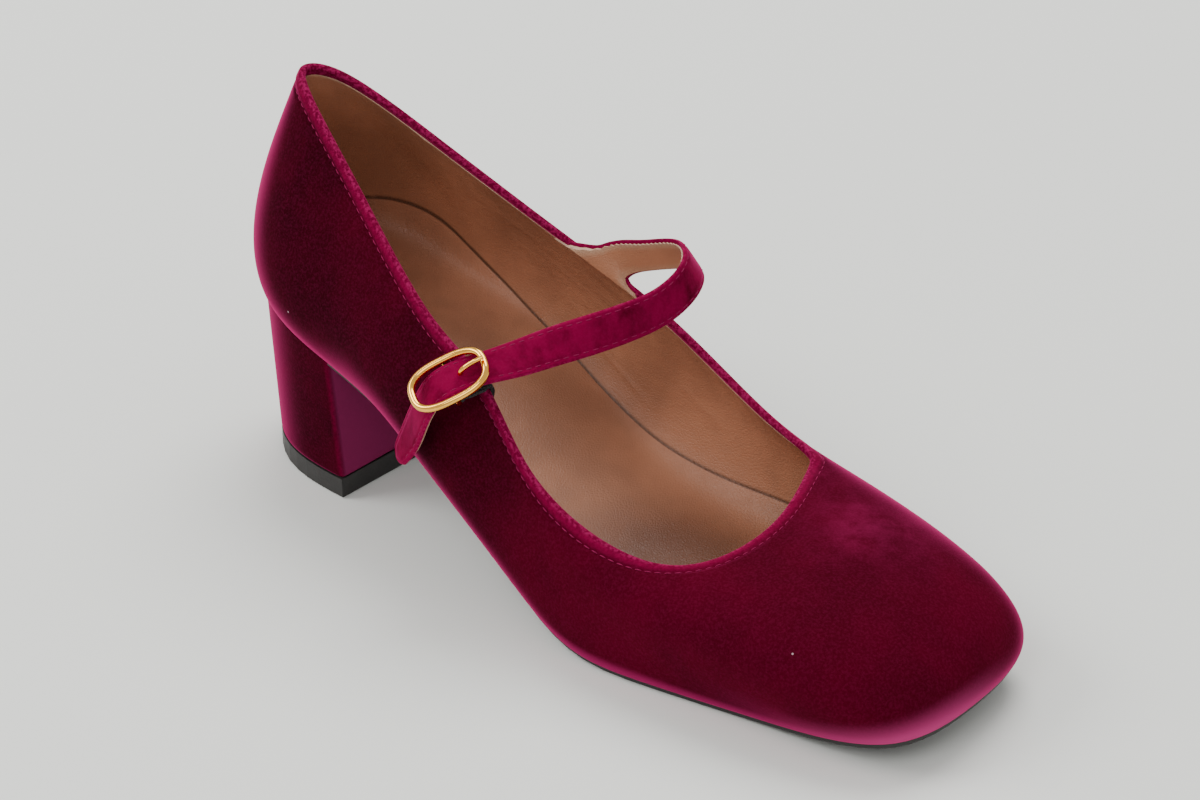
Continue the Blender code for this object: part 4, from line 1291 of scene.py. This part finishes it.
class PUMP_OT_stage(Operator):
    """Lays the pale floor, hangs the soft lights and sets the camera"""

    bl_idname = "pump.stage"
    bl_label = "Stage"

    def execute(self, context):
        stage = context.scene.pump_stage
        bpy.ops.object.select_all(action="DESELECT")
        bpy.ops.mesh.primitive_plane_add(size=FLOOR_SIZE, location=(0, 0, 0))
        floor = context.object
        floor.name = "floor"
        f = Finish("floor paper")
        cloud = f.noise(1.4, 2.0, 0.5)
        face = f.mix(cloud.ramp(0.3, 0.7), shaded(stage.floor_colour, 0.985), stage.floor_colour)
        floor.data.materials.append(f.done(Base_Color=face, Roughness=0.75, Specular_IOR_Level=0.25))
        world = bpy.data.worlds.new("soft room")
        context.scene.world = world
        world.use_nodes = True
        sky = world.node_tree.nodes["Background"]
        sky.inputs["Color"].default_value = (1.0, 1.0, 1.0, 1)
        sky.inputs["Strength"].default_value = stage.fill
        for name, spot, width, share in LAMPS:
            bpy.ops.object.light_add(type="AREA", location=spot)
            lamp = context.object
            lamp.name = name
            lamp.data.shape = "DISK"
            lamp.data.size = width
            lamp.data.energy = stage.key_power * share
            lamp.rotation_euler = (Vector(LAMP_AIM) - Vector(spot)).to_track_quat("-Z", "Y").to_euler()
        eye = Vector(EYE)
        low, high = (Vector(corner) for corner in CAD_BOX)
        forward = ((low + high) / 2 - Vector((0, 0, AIM_DROP)) - eye).normalized()
        right = forward.cross(Vector(CAMERA_UP)).normalized()
        up = right.cross(forward)
        bpy.ops.object.camera_add(location=eye)
        camera = context.object
        camera.data.lens = stage.lens
        camera.data.sensor_width = SENSOR_WIDTH
        camera.matrix_world = Matrix.Translation(eye) @ Matrix((right, up, -forward)).transposed().to_4x4()
        context.scene.camera = camera
        return {"FINISHED"}


class PUMP_OT_upper(Operator):
    """Builds the velvet upper, its leather lining and the stitches along the topline"""

    bl_idname = "pump.upper"
    bl_label = "Upper"

    def execute(self, context):
        scene = context.scene
        upper_velvet(scene.pump_velvet, scene.pump_stitches)
        lining(scene.pump_velvet, scene.pump_leather)
        topline_stitches(scene.pump_stitches)
        return {"FINISHED"}


class PUMP_OT_footbed(Operator):
    """Builds the leather footbed that climbs the lining all around"""

    bl_idname = "pump.footbed"
    bl_label = "Footbed"

    def execute(self, context):
        hide = context.scene.pump_leather
        rings = footbed_sheet(WALL + hide.proud)
        seam = np.zeros(rings.shape[:2])
        seam[0] = 1.0
        piece = solid("footbed", rings, grid_faces(len(rings), AROUND, False), {"seam": seam}, merge=0.00002)
        if sum(face.normal.z * face.area for face in piece.data.polygons) < 0:
            piece.data.flip_normals()
        applied(piece, "SOLIDIFY", thickness=hide.footbed_thickness, offset=-1.0)
        piece.data.set_sharp_from_angle(angle=math.radians(50))
        dressed(piece, leather(hide, "footbed leather", tuple(hide.footbed_colour)), "insole", "insole")
        return {"FINISHED"}


class PUMP_OT_heel(Operator):
    """Covers the block heel in velvet, and gives the top piece and the outsole their rubber"""

    bl_idname = "pump.heel"
    bl_label = "Heel and sole"

    def execute(self, context):
        heel_cover(context.scene.pump_velvet)
        node_finish("heel_tip", rubber("heel_tip rubber", TIP_RUBBER))
        node_finish("outsole", rubber("outsole rubber", SOLE_RUBBER))
        return {"FINISHED"}


class PUMP_OT_strap(Operator):
    """Builds the velvet strap, the leather under it and its two rows of stitches"""

    bl_idname = "pump.strap"
    bl_label = "Strap"

    def execute(self, context):
        scene = context.scene
        strap_velvet(scene.pump_velvet, scene.pump_stitches)
        strap_lining(scene.pump_leather)
        strap_stitches(scene.pump_stitches)
        return {"FINISHED"}


class PUMP_OT_buckle(Operator):
    """Bends the ring, its bar and the prong from polished wire, and weaves the elastic"""

    bl_idname = "pump.buckle"
    bl_label = "Buckle"

    def execute(self, context):
        gold = polished(context.scene.pump_metal)
        dressed(wire_piece("buckle_ring", ring_path(), BUCKLE_WIRE, True), gold, "buckle", "buckle")
        dressed(wire_piece("buckle_bar", bar_path(), BAR_WIRE, False), gold, "buckle")
        path = prong_path()
        slim = np.interp(np.arange(len(path)), [0, len(path) - 8, len(path) - 1], [1.0, 1.0, 0.72])
        dressed(wire_piece("buckle_prong", path, PRONG_WIRE, False, slim), gold, "prong", "prong")
        node_finish("elastic", woven("woven elastic", ELASTIC_COLOUR))
        return {"FINISHED"}


class PUMP_PT_panel(Panel):
    """Lists the pump's pieces in the sidebar"""

    bl_idname = "PUMP_PT_panel"
    bl_label = "Pump"
    bl_space_type = "VIEW_3D"
    bl_region_type = "UI"
    bl_category = "Pump"

    def draw(self, context):
        for operator in OPERATORS:
            self.layout.operator(operator.bl_idname)
        for name, group in SETTINGS.items():
            box = self.layout.box()
            for key in group.__annotations__:
                box.prop(getattr(context.scene, name), key)


OPERATORS = (PUMP_OT_stage, PUMP_OT_upper, PUMP_OT_footbed, PUMP_OT_heel, PUMP_OT_strap, PUMP_OT_buckle)
SETTINGS = {
    "pump_velvet": VelvetSettings,
    "pump_stitches": StitchSettings,
    "pump_leather": LeatherSettings,
    "pump_metal": MetalSettings,
    "pump_stage": StageSettings,
}
CLASSES = (*SETTINGS.values(), *OPERATORS, PUMP_PT_panel)


def register():
    for item in CLASSES:
        bpy.utils.register_class(item)
    for name, group in SETTINGS.items():
        setattr(bpy.types.Scene, name, PointerProperty(type=group))


def unregister():
    for name in SETTINGS:
        delattr(bpy.types.Scene, name)
    for item in reversed(CLASSES):
        bpy.utils.unregister_class(item)


def main():
    register()
    bpy.ops.pump.stage()
    bpy.ops.pump.upper()
    bpy.ops.pump.footbed()
    bpy.ops.pump.heel()
    bpy.ops.pump.strap()
    bpy.ops.pump.buckle()


if __name__ == "__main__":
    main()
